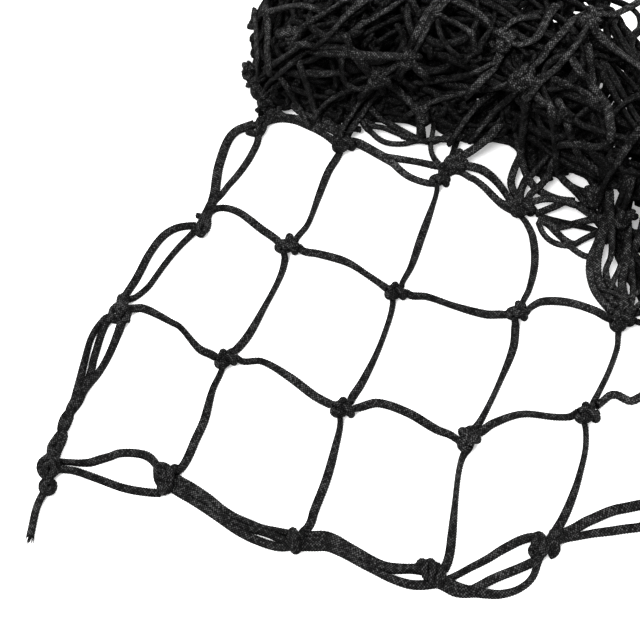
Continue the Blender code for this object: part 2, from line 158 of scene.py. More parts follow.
BORDER_STRANDS = (
    # half width, points; corner to column 1
    (3.2, ((52, 464, 8, 60), (57, 462, 6, 80), (62, 462, 3.2, 85), (70, 462.2, 2.6, 85),
           (80, 463, 2.4, 70), (90, 462.5, 2.3, 45), (100, 459.5, 2.2, 15), (110, 456.5, 2.2, 0),
           (118, 453.5, 2.2, 0), (128, 452.8, 2.2, 0), (138, 453.5, 2.2, 0), (146, 455.5, 2.5, 10),
           (152, 459.5, 3.5, 30), (157, 466, 6, 60))),
    (3.1, ((51, 466, 8, 60), (56, 469, 6, 60), (66, 469.7, 2.6, 60), (75, 471, 2.4, 55),
           (90, 476, 2.4, 50), (105, 481.5, 2.4, 50), (120, 487, 2.4, 45), (135, 490.5, 2.4, 40),
           (150, 492.5, 2.6, 45), (160, 493, 4, 50))),
    # column 1 to column 2
    (3.2, ((166, 470, 6), (172, 474), (180, 480.5), (190, 486), (200, 492.5), (210, 499.5),
           (222, 509.5), (235, 517.5), (250, 523.5), (262, 528), (275, 530.5), (288, 533, 4), (293, 534, 5))),
    (3.2, ((164, 475, 6), (170, 479), (180, 487), (192, 493.5), (205, 502), (220, 514), (235, 523),
           (250, 529.5), (260, 531.5), (270, 534.5), (280, 539), (290, 543, 4), (295, 545, 5))),
    (3.1, ((163, 482, 5), (168, 486), (178, 493), (190, 500), (205, 509.5), (220, 519.5),
           (235, 529.5), (250, 537.5), (260, 541.5), (270, 545), (280, 547), (290, 546.5, 4), (296, 546, 5))),
    # column 2 to column 3
    (3.2, ((295, 536, 5), (303, 536), (315, 535.2), (325, 535.5), (335, 539), (347, 546),
           (360, 553.5), (372, 560.5), (385, 566), (398, 567.5), (410, 567.5), (420, 567, 4), (428, 567, 6))),
    (3.2, ((295, 542, 5), (303, 541.5), (315, 541), (326, 541.5), (337, 546), (350, 553),
           (363, 560), (375, 566), (388, 570), (400, 570.5), (410, 570, 3.5), (420, 571, 5), (430, 573, 6))),
    (3.3, ((295, 547, 4), (303, 546.5), (315, 546.8), (327, 547.2), (338, 551.5), (350, 557.8),
           (363, 565), (376, 571.5), (388, 577.3), (400, 581.8), (412, 584.8), (424, 585),
           (436, 583.5, 3.5), (444, 584, 4))),
    # column 3 to column 4
    (3.2, ((438, 582, 6), (446, 580), (452, 577.5), (460, 573.5), (470, 568), (480, 563),
           (490, 557.5), (500, 551), (510, 545.5), (520, 540.5), (530, 537.5, 4), (537, 537, 6))),
    (3.2, ((440, 580, 4), (448, 582), (455, 585.5), (463, 588.5), (471, 590, 4.5), (480, 586, 4.5),
           (490, 580.5, 3.5), (500, 576), (510, 572), (520, 568), (530, 563.5), (537, 559.5, 4), (541, 554, 6))),
    (3.6, ((440, 584, 4), (446, 587), (455, 591.5), (465, 592.7), (475, 592.3), (485, 593.5),
           (497, 594.5), (508, 593), (518, 589.5), (527, 583.5), (533, 576.5), (536, 569, 3.5),
           (538, 561, 5), (541, 553, 6))),
    # column 4 to column 5, which is past the picture
    (3.7, ((556, 539, 6, 10), (566, 533, 3.5, 10), (575, 528.5, 2.4, 5), (585, 522.5, 2.3, 0),
           (595, 518, 2.3, 0), (605, 513.5, 2.3, 0), (615, 510, 2.3, 5), (625, 508, 2.3, 10),
           (640, 505, 2.4, 15), (652, 503, 3, 20), (664, 502, 5, 30))),
    (3.2, ((556, 542, 5), (566, 539), (578, 536.5), (590, 534), (600, 532.5), (612, 531),
           (625, 529), (640, 527), (652, 522), (664, 512, 5))),
    # corner to row 1, twisted together
    (3.1, ((51, 456, 7), (51.5, 447, 4.5), (57, 438, 4), (64.5, 428.5, 4.5), (69.5, 417.5, 5),
           (70, 409, 5), (74.5, 400, 4), (77, 391, 3), (80, 380, 2.4), (82.5, 370, 2.4),
           (85, 360, 2.4), (87.5, 350, 2.4), (90.5, 340, 2.4), (95, 331, 2.4), (101, 323, 3),
           (106, 318, 5), (113, 316, 7))),
    (3.5, ((55, 458, 7), (58, 449, 4.5), (63, 437, 5), (62, 428, 4.5), (65, 418, 3), (72.5, 409.5, 3),
           (79.5, 400.5, 4.5), (84, 391, 5), (90, 383, 4), (97, 375, 3), (103, 366, 2.6),
           (108.5, 356, 2.4), (113, 346, 2.4), (117, 336, 2.4), (120, 328, 3.5), (122.5, 320, 6))),
    (2.9, ((57, 440, 3), (62, 430, 2.2), (68, 417, 2.2), (75, 404, 2.2), (82, 392, 2.2),
           (88, 380, 2.2), (91.5, 370, 2.2), (93.5, 360, 2.2), (96.5, 350, 2.2), (99.5, 340, 2.2),
           (103, 330, 2.4), (107, 322, 4), (112, 318, 6))),
    # row 1 to row 2
    (3.2, ((123, 301, 7), (125, 296, 5), (129, 290, 2.8), (135, 281), (141, 270), (147, 258),
           (153, 248.5), (159, 240.5), (167, 233), (177, 228), (187, 226, 3), (196, 225.5, 5))),
    (2.9, ((124, 303, 6, 70), (128, 300, 4, 75), (135, 297.5, 2.6, 80), (142, 292.5, 2.6, 80),
           (149, 286, 2.6, 80), (157, 275, 2.6, 80), (165, 264, 2.6, 75), (173, 254, 2.6, 75),
           (181, 245, 2.6, 70), (188, 238, 3, 65), (194, 232, 4.5, 60), (199, 228, 6, 60))),
    # row 2 to row 3
    (4.1, ((207, 216, 7, 20), (209, 210, 4.5, 10), (212, 203, 2.4, 0), (215, 192, 2.3, 0),
           (216.5, 180, 2.3, 0), (218.5, 168, 2.3, 0), (222, 156, 2.3, 0), (226, 145, 2.3, 0),
           (231, 136, 2.3, 0), (238, 130, 2.5, 5), (246, 127, 3.5, 15), (254, 124.5, 6, 30))),
    (3.0, ((207, 214, 6), (210, 207, 4), (216, 200), (222, 194), (228, 186), (236, 177), (243, 168),
           (249, 159), (254, 150), (257.5, 142, 3), (259, 134, 5))),
)
BORDER_KNOTS = (
    # corner knot
    ((58, 440, 4), (52.5, 443.5, 7), (50.5, 448, 8), (53, 452.5, 9), (57, 452, 6), (57.5, 447, 4)),
    ((58, 445, 4), (55, 452, 8), (47.5, 457, 9.5), (41.5, 462, 8), (40.2, 468, 7), (43, 474.5, 6.5),
     (48, 477.5, 6), (52, 474, 8), (53.5, 468, 9.5), (50, 463, 11), (45.5, 467, 10.5), (46, 473, 9),
     (48, 479, 6), (47, 484, 5)),
    ((56, 456, 5), (57.5, 461, 7), (58.3, 466, 6), (56.5, 471, 5.5), (52, 475.5, 5), (48, 480, 4)),
    ((50, 457, 10), (54.5, 460, 10), (57.5, 463, 7)),
    # column 1
    ((150, 457.5, 3.5), (156.5, 464, 7), (156.5, 472, 8), (157.5, 480, 7.5), (161.5, 487, 7),
     (163, 493, 5), (166.5, 489, 7), (165.5, 482, 9.5)),
    ((157, 467, 7), (162, 465, 9), (168, 468, 10), (169.5, 475, 10.5), (165, 481, 9.5),
     (160.5, 484, 7), (161, 490, 5), (163.5, 494, 3.5)),
    ((167, 492, 3.5), (170, 486, 7), (170.5, 478, 10), (171.5, 470.5, 9.5), (175, 467.5, 7), (177.5, 470, 5)),
    ((160, 470, 9), (164, 474, 11), (162, 479, 10), (157, 476, 8)),
    # column 2
    ((291.5, 541, 3), (290.5, 534, 6), (292.5, 530, 6.5), (294.5, 533, 8.5), (295.5, 540, 9.5),
     (297, 546, 8), (297.5, 550.5, 5.5), (294.5, 551, 4.5), (293.5, 546, 5), (294, 539, 4)),
    ((293, 531, 7), (297, 535, 9), (300, 537, 7), (303, 534.5, 5)),
    ((290, 536, 7.5), (291.5, 543, 8.5), (295, 548.5, 7.5)),
    # column 3
    ((418, 566, 4), (421, 561.5, 6.5), (425, 564, 9.5), (424.5, 571, 9), (427, 577.5, 6),
     (430, 573, 4.5), (427.5, 563.5, 6), (431.5, 562, 9), (433, 569, 11), (431, 577, 9),
     (434, 581.5, 5.5), (436.5, 575, 4), (435, 566, 6), (438.5, 566.5, 8.5), (440, 573, 10),
     (438, 580.5, 8), (441, 585, 5)),
    ((441.5, 570, 6), (443, 576, 7), (440, 582, 7), (436, 586, 5)),
    # column 4
    ((526, 538, 3), (533, 537, 6.5), (539, 534.5, 8.5), (543, 538, 10), (541, 543.5, 10.5),
     (535, 546, 9.5), (531.5, 550, 7.5), (534, 555.5, 6.5), (540, 556, 8), (545, 551, 10),
     (547, 544, 10.5), (550, 537.5, 9), (554, 534, 6.5), (558, 533, 4.5)),
    ((534, 548, 9), (535, 541.5, 9.5), (540.5, 540, 11.5), (543.5, 545.5, 12), (540, 551.5, 11),
     (535.5, 552.5, 9)),
    ((550, 556, 3.5), (554, 554, 5.5), (557, 549, 7.5), (555, 542, 9.5), (552, 536.5, 9), (553, 532, 6)),
    ((548, 552, 6), (551, 547, 9.5), (552, 540, 10), (556, 535, 8), (561, 533, 5)),
    # row 1
    ((127, 294, 3.5), (122.5, 296.5, 7), (119.5, 299.5, 8), (121, 303.5, 9), (125, 303, 8), (127, 298.5, 6)),
    ((120, 297, 6), (124.5, 300, 9.5), (125, 307, 10), (121.5, 313, 9.5), (116, 317, 8),
     (111.5, 315.5, 6.5), (112.5, 309.5, 7.5), (117.5, 305, 8.5), (121.5, 303, 7)),
    ((113, 320, 4), (116.5, 320.5, 5.5), (119.5, 316, 8), (118.5, 310, 10), (123, 306.5, 10.5),
     (127, 309, 8.5), (128.3, 314, 6.5), (125.5, 319, 5.5), (123, 322, 4)),
    ((125.5, 315, 6), (127.5, 318.5, 5), (126.5, 322, 3.5)),
    # row 2
    ((197.5, 215.5, 6), (202, 217, 8), (206, 221, 9.5), (207.3, 226.5, 8), (204, 231.5, 7.5),
     (201.5, 235, 5.5), (198.5, 233.5, 5.5), (199, 228.5, 7.5), (202.5, 224, 9), (205, 218, 9), (208, 213, 7)),
    ((193, 231, 3.5), (197, 228, 6), (200.5, 222.5, 8.5), (203.5, 216, 9), (206.5, 210.5, 6.5), (209, 205, 4)),
    ((203, 229, 5), (206, 230.5, 5), (208.5, 225, 5), (208.5, 219, 5.5), (209, 214, 5)),
    # row 3
    ((252, 132, 4), (255.5, 134, 5.5), (258.5, 131, 8), (258.5, 124, 9.5), (260, 119.5, 7.5),
     (263.5, 120, 5.5), (264.5, 126, 5), (262.5, 131, 5.5), (259, 135.5, 4)),
    ((245, 129.5, 5), (251, 127, 7), (256.5, 124, 8.5), (262, 121, 7), (267, 117.5, 5)),
    ((247, 132, 4), (252, 133.5, 5), (257, 134.5, 5)),
)
STOPPER = (
    ((47, 480, 4), (42.5, 483, 6), (42, 488.5, 7), (46, 492.5, 8), (51.5, 491.5, 8), (53.5, 486.5, 7),
     (51, 482, 7.5), (46, 483, 9.5), (44.5, 487.5, 10), (48, 490.5, 10), (52, 488, 9)),
    ((50, 480, 4), (54, 484, 4.5), (53, 490, 4.5), (48, 493, 4.5), (43.5, 491, 4), (43, 495, 3)),
)

# Cords at the heap's foot, whose heights were judged one by one
FOOT = (
    # half width, points; row 3 from the left border
    (3.2, ((264, 124, 5), (270, 121, 3.5), (278, 119, 3), (287, 119.2), (297, 121.5), (307, 126),
           (318, 131), (328, 137), (336, 143, 4))),
    (3.2, ((266, 119, 5), (275, 117, 5), (286, 117, 6), (297, 118.5, 7), (308, 121.5, 6),
           (320, 125, 6), (332, 130, 7), (342, 137, 8))),
    (2.8, ((300, 112, 14), (312, 117, 11), (325, 121, 9), (338, 127, 9))),
    # row 3 from column 1 to column 2, and one that lies over it
    (3.1, ((349, 145, 4), (357, 144.5, 3), (366, 148.5, 2.6), (376, 154), (386, 159.5), (393, 163.5),
           (400, 170), (408, 176), (418, 180.5), (428, 183, 3.5), (435, 183.5, 5))),
    (3.4, ((350, 141, 6), (358, 142.5, 5), (367, 147, 5), (377, 152.5, 5), (386, 157, 4), (396, 158.5, 3),
           (408, 160.5, 2.4), (420, 162.5, 2.4), (432, 165, 3), (442, 166, 5), (450, 164, 8))),
    # thin loops in front of the heap
    (2.4, ((366, 128, 12), (372, 133, 8), (378, 138.5, 5), (386, 142.5, 4), (396, 144, 3), (406, 143.5, 3.5),
           (414, 141.5, 5), (422, 141, 6), (430, 142.5, 7), (437, 141, 9))),
    (2.4, ((374, 126, 12), (384, 128, 9), (394, 132, 7), (404, 136, 6), (412, 138.5, 6), (418, 137, 8),
           (419, 130, 12), (418, 121, 18))),
    (2.6, ((381, 119, 16), (390, 124, 12), (399, 129, 9), (408, 134, 7), (416, 138, 6.5))),
    (2.6, ((434, 122, 18), (433, 131, 12), (431, 141, 8), (431, 150, 6), (434, 158, 5), (439, 164, 6))),
    (2.6, ((425, 141, 9), (436, 139, 11), (447, 139.5, 12), (458, 137, 15))),
    # about the knot that lies over row 3
    (3.7, ((455, 160, 10), (462, 156, 11), (466, 154, 12), (474, 149, 14), (482, 143, 17), (490, 136, 22),
           (497, 128, 28))),
    (3.7, ((452, 162, 9), (460, 165, 8), (470, 166.5, 7), (480, 169, 6), (489, 174.5, 5), (497, 182, 5),
           (504, 191, 5), (511, 201, 6), (517, 208, 7))),
    # row 3 from column 2 to column 3
    (3.1, ((441, 181, 4), (447, 175, 3), (455, 171.5), (462, 173), (470, 177.5, 3), (475, 180), (484, 187),
           (493, 196), (502, 204.5), (511, 210, 4), (517, 212, 6))),
    # round the knot of column 3
    (3.3, ((524, 146, 20), (519, 158, 14), (514, 170, 9), (511, 182, 6), (514, 192, 5), (521, 201, 6))),
    (3.0, ((527, 205, 8), (530, 195, 9), (540, 186, 11), (548, 176, 14), (552, 165, 20))),
    (3.0, ((520, 203, 6), (522, 190, 7), (527, 180, 9), (535, 172, 13), (545, 160, 20))),
    (2.5, ((538, 222, 4), (543, 233, 3), (551, 241, 2.5), (561, 245, 2.5), (569, 246, 2.5), (576, 251, 2.5),
           (585, 256, 3), (593, 256, 5))),
    (3.0, ((536, 214, 6), (546, 210, 6), (556, 206, 8), (565, 202, 11), (575, 205, 12))),
    (3.0, ((548, 222, 5), (556, 227, 4), (566, 226, 4.5), (577, 223, 6), (590, 220, 9), (602, 218, 12))),
    (3.0, ((538, 219, 6), (548, 224, 4), (556, 232, 4), (565, 240, 4), (574, 244, 4), (582, 240, 5),
           (590, 236, 7), (598, 232, 10))),
    # the bundle that comes down to the knot of column 4
    (3.0, ((596, 244, 14), (591, 256, 9), (589.5, 268, 6), (591, 280, 4), (595, 291, 3), (602, 301, 3),
           (609, 309, 3.5), (615, 316, 4))),
    (3.4, ((603, 236, 18), (599, 250, 13), (597, 264, 9), (598, 277, 6), (602, 288, 4.5), (609, 298, 4),
           (616, 308, 5))),
    (3.4, ((610, 205, 34), (611, 222, 26), (612, 240, 19), (611, 256, 14), (606, 270, 10), (608, 282, 7),
           (615, 291, 6), (620, 302, 6), (622, 312, 6))),
    (3.0, ((622, 262, 14), (618, 272, 11), (613, 282, 8), (611, 290, 7))),
    (3.4, ((628, 240, 20), (627, 255, 16), (624, 270, 12), (622, 283, 9), (624, 296, 8), (626, 310, 7))),
    (3.4, ((640, 235, 20), (634, 250, 17), (631, 268, 13), (633, 284, 10), (632, 300, 8), (627, 315, 7))),
    (3.0, ((640, 290, 10), (632, 296, 9), (622, 298, 8), (612, 293, 7), (603, 290, 6), (598, 284, 5))),
    (3.2, ((628, 318, 6), (636, 308, 7), (645, 300, 8), (655, 292, 12))),
    # row 1 and row 2 on their way to the right
    (3.1, ((597, 406, 6), (603, 401, 3.5), (610, 395.5), (617, 395), (624, 398.5), (631, 401), (640, 397),
           (655, 388), (672, 383), (690, 385), (706, 389, 4), (716, 391, 5))),
    # left edge: bundle from the border up into the heap
    (3.2, ((264, 124, 5), (268, 113, 7), (274, 105, 10), (283, 96, 16), (291, 89, 24))),
    (3.0, ((261, 121, 7), (265, 109, 9), (266, 100, 13), (270, 92, 18), (280, 84, 26))),
    (3.0, ((262, 80, 20), (255, 84, 15), (253, 90, 11), (256, 96, 9), (262, 98, 10), (268, 99, 13))),
    (3.0, ((262, 124, 5), (269, 117, 6), (276, 111, 8), (283, 105, 11), (290, 98, 16))),
    (2.8, ((264, 97, 14), (270, 103, 11), (276, 109, 8), (282, 115, 6), (290, 119, 5))),
    (2.8, ((257, 95, 12), (263, 102, 9), (269, 110, 7), (274, 117, 6))),
    (2.7, ((262, 110, 6), (270, 107, 8), (278, 102, 11), (286, 97, 16))),
    # over the opening right of column 3's knot
    (3.2, ((521, 156, 18), (525, 171, 12), (532, 184, 9), (543, 193, 7), (558, 199, 6), (575, 201, 8))),
)

# Cords that show on the heap's face: they lie on whatever the heap is there
FOLDS = (
    # half width, points
    (3.0, ((262, 13), (272, 11), (280, 9), (290, 6.5), (300, 5.5), (309, 7), (318, 10))),
    (3.2, ((255, 10), (256, 30), (257, 50), (258, 65))),
    (3.0, ((266, 12), (268, 30), (267, 48), (268, 60))),
    (3.8, ((364, 0), (356, 7), (349, 13), (342, 20), (335, 29), (328, 36), (321, 42))),
    (3.2, ((346, 1), (337, 6), (328, 12), (318, 18), (308, 24), (301, 31), (297, 38))),
    (3.8, ((298, 47), (290, 53), (281, 59), (272, 65), (263, 72), (256, 78))),
    (3.2, ((308, 51), (298, 58), (288, 66), (279, 74), (270, 82), (265, 92), (262, 101))),
    (3.0, ((306, 44), (316, 46.5), (328, 47), (340, 47.5), (350, 50))),
    (3.2, ((308, 50), (320, 53), (335, 53.5), (350, 54), (362, 55), (375, 56), (388, 56), (400, 57), (412, 58))),
    (3.0, ((346, 36), (349, 44), (353, 53), (359, 62), (366, 70), (374, 78))),
    (3.3, ((352, 54), (361, 62), (370, 71), (380, 79), (390, 85), (399, 91), (407, 99), (414, 107),
           (419, 116), (421, 125))),
    (2.8, ((343, 56), (341.5, 66), (342.5, 76), (347, 84), (354, 88.5), (362, 89), (369, 86), (375, 80))),
    (3.0, ((372, 84), (380, 77), (389, 71), (398, 64), (406, 58))),
    (3.8, ((410, 60), (416, 50), (421, 40), (426, 30), (431, 20), (437, 11), (446, 1))),
    (3.2, ((404, 58), (410, 47), (415, 37), (420, 27), (425, 17), (431, 8), (438, 0))),
    (3.7, ((343, 128), (349, 118), (355, 109), (361, 101), (368, 92), (374, 85), (382, 78))),
    (3.2, ((352, 128), (360, 117), (366, 108), (373, 99), (380, 91), (384, 84))),
    (2.8, ((319, 112), (325, 104), (333, 98), (341, 94))),
    (2.5, ((285, 84), (290, 92), (295, 101), (300, 109), (305, 118))),
    (2.8, ((301, 68), (305, 80), (309, 92), (313, 104), (316, 112))),
    (2.8, ((311, 73), (322, 74), (334, 73))),
    (3.0, ((362, 24), (372, 19), (382, 13), (392, 7), (400, 1))),
    (3.0, ((438, 14), (446, 19), (455, 23), (464, 28), (472, 34))),
    (3.0, ((452, 0), (462, 5), (472, 10), (481, 16), (489, 24))),
    (3.2, ((412, 62), (418, 70), (427, 77), (437, 81), (448, 84), (460, 86.5), (473, 88), (487, 89))),
    (3.0, ((440, 79), (452, 78), (464, 76), (476, 72), (488, 66))),
    (3.0, ((420, 108), (430, 103), (441, 99), (452, 96), (464, 93), (477, 90))),
    (3.0, ((460, 128), (467, 118), (474, 109), (482, 101), (490, 95))),
    (3.8, ((531, 68), (541, 59), (548, 49), (556, 39), (566, 29), (572, 20), (583, 14), (591, 11))),
    (3.1, ((538, 84), (547, 76), (557, 68), (567, 56), (576, 45), (582, 35), (587, 26), (589, 18))),
    (3.8, ((524, 80), (519, 80), (508, 84), (496, 88), (484, 90))),
    (3.6, ((505, 40), (502, 48), (499, 57), (494, 67), (487, 75), (480, 82))),
    (3.6, ((508, 41), (519, 45), (529, 42), (537, 37), (543, 27), (549, 15), (556, 6))),
    (3.1, ((503, 33), (508, 25), (516, 20), (526, 18), (538, 17))),
    (3.0, ((528, 84), (534, 92), (541, 101), (549, 105), (552, 115), (554, 128), (555, 140), (556, 155),
           (557, 168), (562, 178), (569, 185), (578, 190), (588, 193))),
    (3.2, ((520, 87), (513, 95), (505, 102), (497, 109), (489, 118), (482, 127))),
    (3.2, ((526, 88), (527, 100), (525, 112), (524, 125), (522, 140), (522, 155), (525, 167))),
    (3.7, ((572, 59), (580, 72), (587, 80), (595, 90), (601, 98), (607, 107), (611, 130))),
    (3.0, ((556, 80), (566, 85), (578, 90), (589, 96))),
    (3.8, ((591, 23), (599, 35), (607, 43), (617, 51), (628, 59), (638, 66))),
    (3.0, ((588, 46), (590, 58), (591, 70), (593, 82))),
    (3.0, ((602, 14), (612, 15), (622, 11), (632, 6), (640, 1))),
    (3.7, ((640, 131), (631, 141), (624, 152), (618, 162), (611, 173), (605, 184), (600, 196))),
    (3.1, ((563, 111), (568, 127), (572, 139), (577, 152), (584, 161), (593, 168))),
    (3.0, ((580, 145), (595, 147), (608, 144))),
    (3.1, ((515, 203), (530, 202), (545, 199), (560, 200), (572, 203), (584, 210), (595, 218))),
    (3.0, ((560, 176), (568, 184), (576, 192), (583, 200))),
    (3.1, ((628, 180), (622, 195), (616, 210), (613, 225))),
    (3.1, ((632, 182), (627, 200), (620, 215))),
)
FOLD_KNOTS = (
    # u, v, turn of its long axis in the picture, size
    (248.5, 70, 70, 0.95), (266, 101, 20, 0.90), (290, 36, 120, 1.10), (380, 79, 35, 1.10),
    (410, 58, 60, 1.10), (421, 113, 100, 1.00), (524, 80, 20, 1.35), (503, 40, 80, 1.15),
    (456, 161, 15, 1.15), (592, 195, 100, 1.10), (625, 217, 60, 1.10), (591, 18, 40, 1.10),
)

# White floor shows through here: picture ellipses that stay free of the heap
CLEAR = (
    # u, v, half width, half height
    (294, 113, 8, 5), (366, 135, 8, 7), (396, 128, 20, 8), (391, 137, 14, 6), (430, 131, 8, 8),
    (442, 151, 10, 9), (495, 164, 20, 24), (529, 191, 10, 10), (562, 188, 15, 12), (577, 184, 10, 9),
    (553, 206, 9, 7), (568, 215, 13, 11), (589, 232, 8, 10), (583, 246, 11, 8), (612, 190, 7, 12),
    (619, 203, 7, 12), (603, 298, 6, 7), (617, 301, 7, 7), (620, 284, 6, 7), (637, 218, 7, 26),
)

# What fills the middles of the border knots: u, v, h, radius in mm
CORES = (
    (48.5, 467, 5.0, 5.0), (47.8, 487.5, 4.4, 3.9), (162.5, 478, 4.6, 4.6), (294, 541, 4.2, 3.8),
    (431, 573, 4.6, 4.6), (544, 544, 5.4, 5.4), (120.5, 308, 4.6, 4.8), (203.5, 224, 4.4, 4.2),
    (259.5, 127, 4.2, 3.8), (550.5, 543.5, 5.0, 5.0),
)

# Free end of the border cord at the corner, in the picture
TAIL = ((46, 488, 4.4), (43.4, 493.5, 3.6), (40.2, 499, 3.0), (37.6, 505, 2.7), (35.4, 512, 2.7),
        (33.8, 519, 2.7), (32.2, 527, 2.7), (30.2, 536.5, 2.7))

# ================================================================== heap
HEAP = np.array((
    # x, front_y, back_y, height
    (8.0, 394.0, 446.0, 44.0), (22.0, 376.0, 484.0, 76.0), (60.0, 365.0, 506.0, 99.0),
    (110.0, 363.0, 520.0, 107.0), (160.0, 366.0, 526.0, 110.0), (212.0, 367.0, 527.0, 103.0),
    (262.0, 371.0, 529.0, 99.0), (304.0, 362.0, 530.0, 106.0), (345.0, 334.0, 530.0, 113.0),
    (385.0, 293.0, 527.0, 114.0), (425.0, 236.0, 515.0, 108.0), (465.0, 166.0, 486.0, 99.0),
    (500.0, 131.0, 441.0, 87.0), (530.0, 139.0, 382.0, 69.0), (552.0, 186.0, 312.0, 44.0),
))
COLUMN_AT_HEAP = (48.0, 120.0, 205.0, 268.0, 370.0)   # x of columns 0..4 there
FOOT_LINE = np.array((
    # x, y where the dense part of the heap meets the floor
    (8.0, 392.0), (22.0, 376.0), (40.0, 364.0), (70.0, 356.0), (97.0, 356.0), (125.0, 366.0),
    (150.0, 374.0), (186.0, 382.0), (215.0, 376.0), (240.0, 382.0), (258.0, 380.0), (272.0, 362.0),
    (298.0, 354.0), (320.0, 346.0), (336.0, 326.0), (352.0, 304.0), (366.0, 284.0), (385.0, 263.0),
    (405.0, 247.0), (425.0, 230.0), (465.0, 168.0), (500.0, 132.0), (530.0, 140.0), (552.0, 186.0),
))


# ========================================================== curves and tubes
def unit(v):
    v = np.asarray(v, float)
    return v / (np.linalg.norm(v) + 1e-12)


def smooth(points, step):
    """Even points, about step apart, on a Catmull-Rom curve through points."""
    p = np.asarray(points, float)
    if len(p) == 2:
        n = max(2, int(round(np.linalg.norm(p[1] - p[0]) / step)))
        return p[0] + (p[1] - p[0]) * np.linspace(0, 1, n + 1)[:, None]
    d = np.linalg.norm(np.diff(p, axis=0), axis=1) + 1e-9
    m = np.zeros_like(p)
    m[1:-1] = (p[2:] - p[:-2]) / (d[1:] + d[:-1])[:, None]
    m[0] = (p[1] - p[0]) / d[0]
    m[-1] = (p[-1] - p[-2]) / d[-1]
    t = np.linspace(0, 1, 9)[:-1, None]
    h00, h10 = 2 * t ** 3 - 3 * t ** 2 + 1, t ** 3 - 2 * t ** 2 + t
    h01, h11 = 3 * t ** 2 - 2 * t ** 3, t ** 3 - t ** 2
    out = [h00 * p[i] + h10 * d[i] * m[i] + h01 * p[i + 1] + h11 * d[i] * m[i + 1]
           for i in range(len(p) - 1)]
    out.append(p[-1:])
    q = np.concatenate(out)
    s = np.concatenate([[0.0], np.cumsum(np.linalg.norm(np.diff(q, axis=0), axis=1))])
    n = max(2, int(round(s[-1] / step)))
    v = np.linspace(0, s[-1], n + 1)
    return np.stack([np.interp(v, s, q[:, k]) for k in range(3)], 1)


def frames(pts):
    """Tangents and two normals along a line, carried along without twist."""
    n = len(pts)
    tan = np.zeros((n, 3))
    tan[1:-1] = pts[2:] - pts[:-2]
    tan[0] = pts[1] - pts[0]
    tan[-1] = pts[-1] - pts[-2]
    tan /= np.linalg.norm(tan, axis=1)[:, None] + 1e-12
    nor = np.zeros((n, 3))
    t0 = tan[0]
    a = np.array((0.0, 0.0, 1.0)) if abs(t0[2]) < 0.9 else np.array((1.0, 0.0, 0.0))
    v = a - t0 * (a @ t0)
    v /= np.linalg.norm(v)
    nor[0] = v
    vx, vy, vz = v
    tl = tan.tolist()
    for i in range(1, n):
        tx, ty, tz = tl[i]
        k = vx * tx + vy * ty + vz * tz
        vx, vy, vz = vx - k * tx, vy - k * ty, vz - k * tz
        m = math.sqrt(vx * vx + vy * vy + vz * vz) or 1.0
        vx, vy, vz = vx / m, vy / m, vz / m
        nor[i] = (vx, vy, vz)
    return tan, nor, np.cross(tan, nor)


